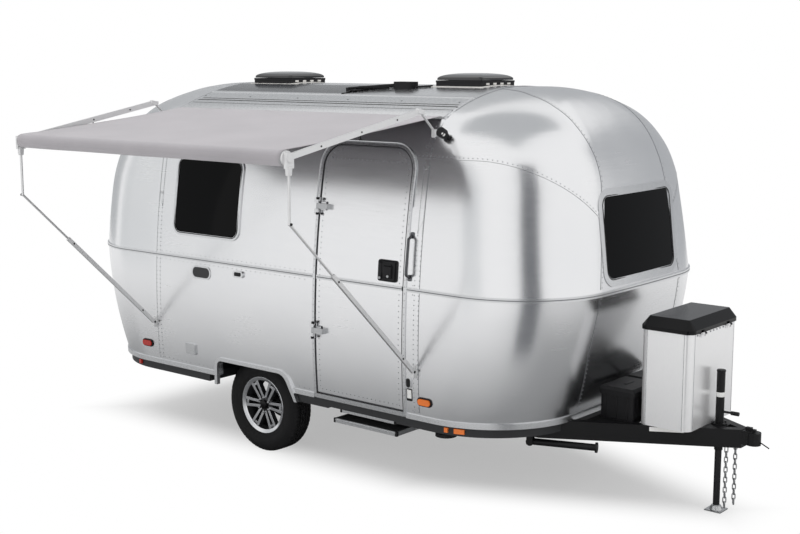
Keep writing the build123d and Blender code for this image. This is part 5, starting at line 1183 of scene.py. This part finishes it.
def build_jack_trim():
    band = Shape()
    band.turned([(0.0288, 0), (0.0292, 0.001), (0.0292, 0.031), (0.0288, 0.032)],
                Matrix.Translation((JACK_X, 0, 0.803)), 32)
    band.make("jack_band", LABEL, slot="white_plastic")
    top = Shape()
    top.turned([(0.0285, 0.0), (0.031, 0.002), (0.031, 0.010), (0.026, 0.0145), (0, 0.016)],
               Matrix.Translation((JACK_X, 0, 0.975)), 32)
    for a in range(4):
        turn = math.radians(45 + 90 * a)
        x, y = JACK_X + 0.042 * math.cos(turn), 0.042 * math.sin(turn)
        top.rod((x, y, 0.619), (x, y, 0.628), 0.008, 6)
    top.make("jack_cap_and_bolts", BLACK_STEEL, slot="black_frame")


def build_locker_trim():
    """beads down the gas locker's rounded corners and studs along the edge of its lid"""
    locker = Shape()
    for x, sx in zip(LOCKER_X, (-1, 1)):
        for sy in (-1, 1):
            for a in (6, 84):
                turn = math.radians(a)
                out = Vector((sx * math.cos(turn), sy * math.sin(turn), 0)) * (LOCKER_R + 0.0003)
                foot = Vector((x - sx * LOCKER_R, sy * (LOCKER_HALF_Y - LOCKER_R), 0.612)) + out
                locker.rod(foot, foot + Vector((0, 0, 0.656)), 0.0022, 8)
    locker.make("locker_corner_beads", EXTRUSION, slot="trim_aluminium")
    studs = Shape()
    for i in range(12):
        spot = Vector((LOCKER_X[1] + 0.0005, -0.26 + 0.52 * i / 11, 1.258))
        studs.turned([(0.006, 0), (0.005, 0.003), (0, 0.004)],
                     Matrix.Translation(spot) @ Matrix.Rotation(math.pi / 2, 4, "Y"), 10)
    studs.make("locker_hinge_studs", RIVET_PAINTED_SHADE, slot="trim_aluminium")


def build_battery_ribs():
    ribs = Shape()
    for yc in (-BATTERY_Y, BATTERY_Y):
        for dx in (-0.085, 0.0, 0.085):
            ribs.block((BATTERY_X + dx, yc, 0.700), (0.014, 0.342, 0.150))
        for dy in (-0.100, 0.0, 0.100):
            ribs.block((BATTERY_X, yc + dy, 0.700), (0.261, 0.014, 0.150))
        # the lid's raised middle, its grip, and the two clasps
        for dy, z, size, taper in ((0.0, 0.824, (0.100, 0.180, 0.018), 0.9),
                                   (0.0, 0.8355, (0.030, 0.120, 0.008), 0.8),
                                   (-0.150, 0.790, (0.044, 0.034, 0.060), 0.8),
                                   (0.150, 0.790, (0.044, 0.034, 0.060), 0.8)):
            ribs.block((BATTERY_X, yc + dy, z), size, taper=taper)
    ribs.make("battery_box_ribs", BLACK_ABS, bevel=0.003, slot="black_plastic")


build_chains()
build_jack_trim()
build_locker_trim()
build_battery_ribs()


# ---- entry step ---------------------------------------------------------
# name, both ends of the tread along the wall, its outer edge, its top
TREADS = (("upper", 0.933, 1.452, -1.128, 0.535), ("lower", 0.897, 1.488, -1.160, 0.461))
TREAD_BACK_Y = -0.945


def build_step():
    for name, x0, x1, y0, top in TREADS:
        nosing, grip, caps = Shape(), Shape(), Shape()
        middle, length = (x0 + x1) / 2, x1 - x0
        nosing.block((middle, y0 - 0.0015, top - 0.016), (length - 0.020, 0.005, 0.030))
        nosing.block((middle, y0 - 0.0030, top - 0.008), (length - 0.020, 0.006, 0.006))
        for i in range(9):
            y = y0 + 0.020 + i * 0.019
            if y < TREAD_BACK_Y:
                grip.block((middle, y, top + 0.0012), (length - 0.030, 0.008, 0.0028))
        for x in (x0 + 0.004, x1 - 0.004):
            caps.block((x, y0 + 0.004, top - 0.016), (0.020, 0.018, 0.034))
        body = "step_tread_" + name
        nosing.make("step_nosing_" + name, EXTRUSION, body, bevel=0.001, slot="trim_aluminium")
        grip.make("step_grip_" + name, BLACK_ABS, body, slot="black_plastic")
        caps.make("step_caps_" + name, BLACK_ABS, body, bevel=0.002, slot="black_plastic")


build_step()


# ---- windows ------------------------------------------------------------
# both edges, foot and head of the glass in a side wall and in an end
SIDE_WINDOW, END_WINDOW = (-0.770, -0.040, 1.700, 2.300), (-0.472, 0.472, 1.584, 2.161)
GLASS_R, BEAD_INSET = 0.075, 0.006


def window_outline(u0, u1, z0, z1):
    size = (u1 - u0 - 2 * BEAD_INSET, z1 - z0 - 2 * BEAD_INSET)
    ring = soft_rectangle((u0 + u1) / 2, (z0 + z1) / 2, *size, GLASS_R - BEAD_INSET, steps=8)
    return [(u, z) for u, z, w in ring]


def build_window_beads():
    beads, frames = Shape(), tree_of(["window_frames"])
    for window, ray in ((SIDE_WINDOW, from_side), (END_WINDOW, from_end)):
        for side in (-1, 1):
            run = cast_run(frames, [ray(side, u, z) for u, z in window_outline(*window)])
            beads.tube([p for p, n in run + run[:1]], 0.0035)
    beads.make("window_seals", RUBBER, sharp=60.0, slot="black_plastic")


build_window_beads()
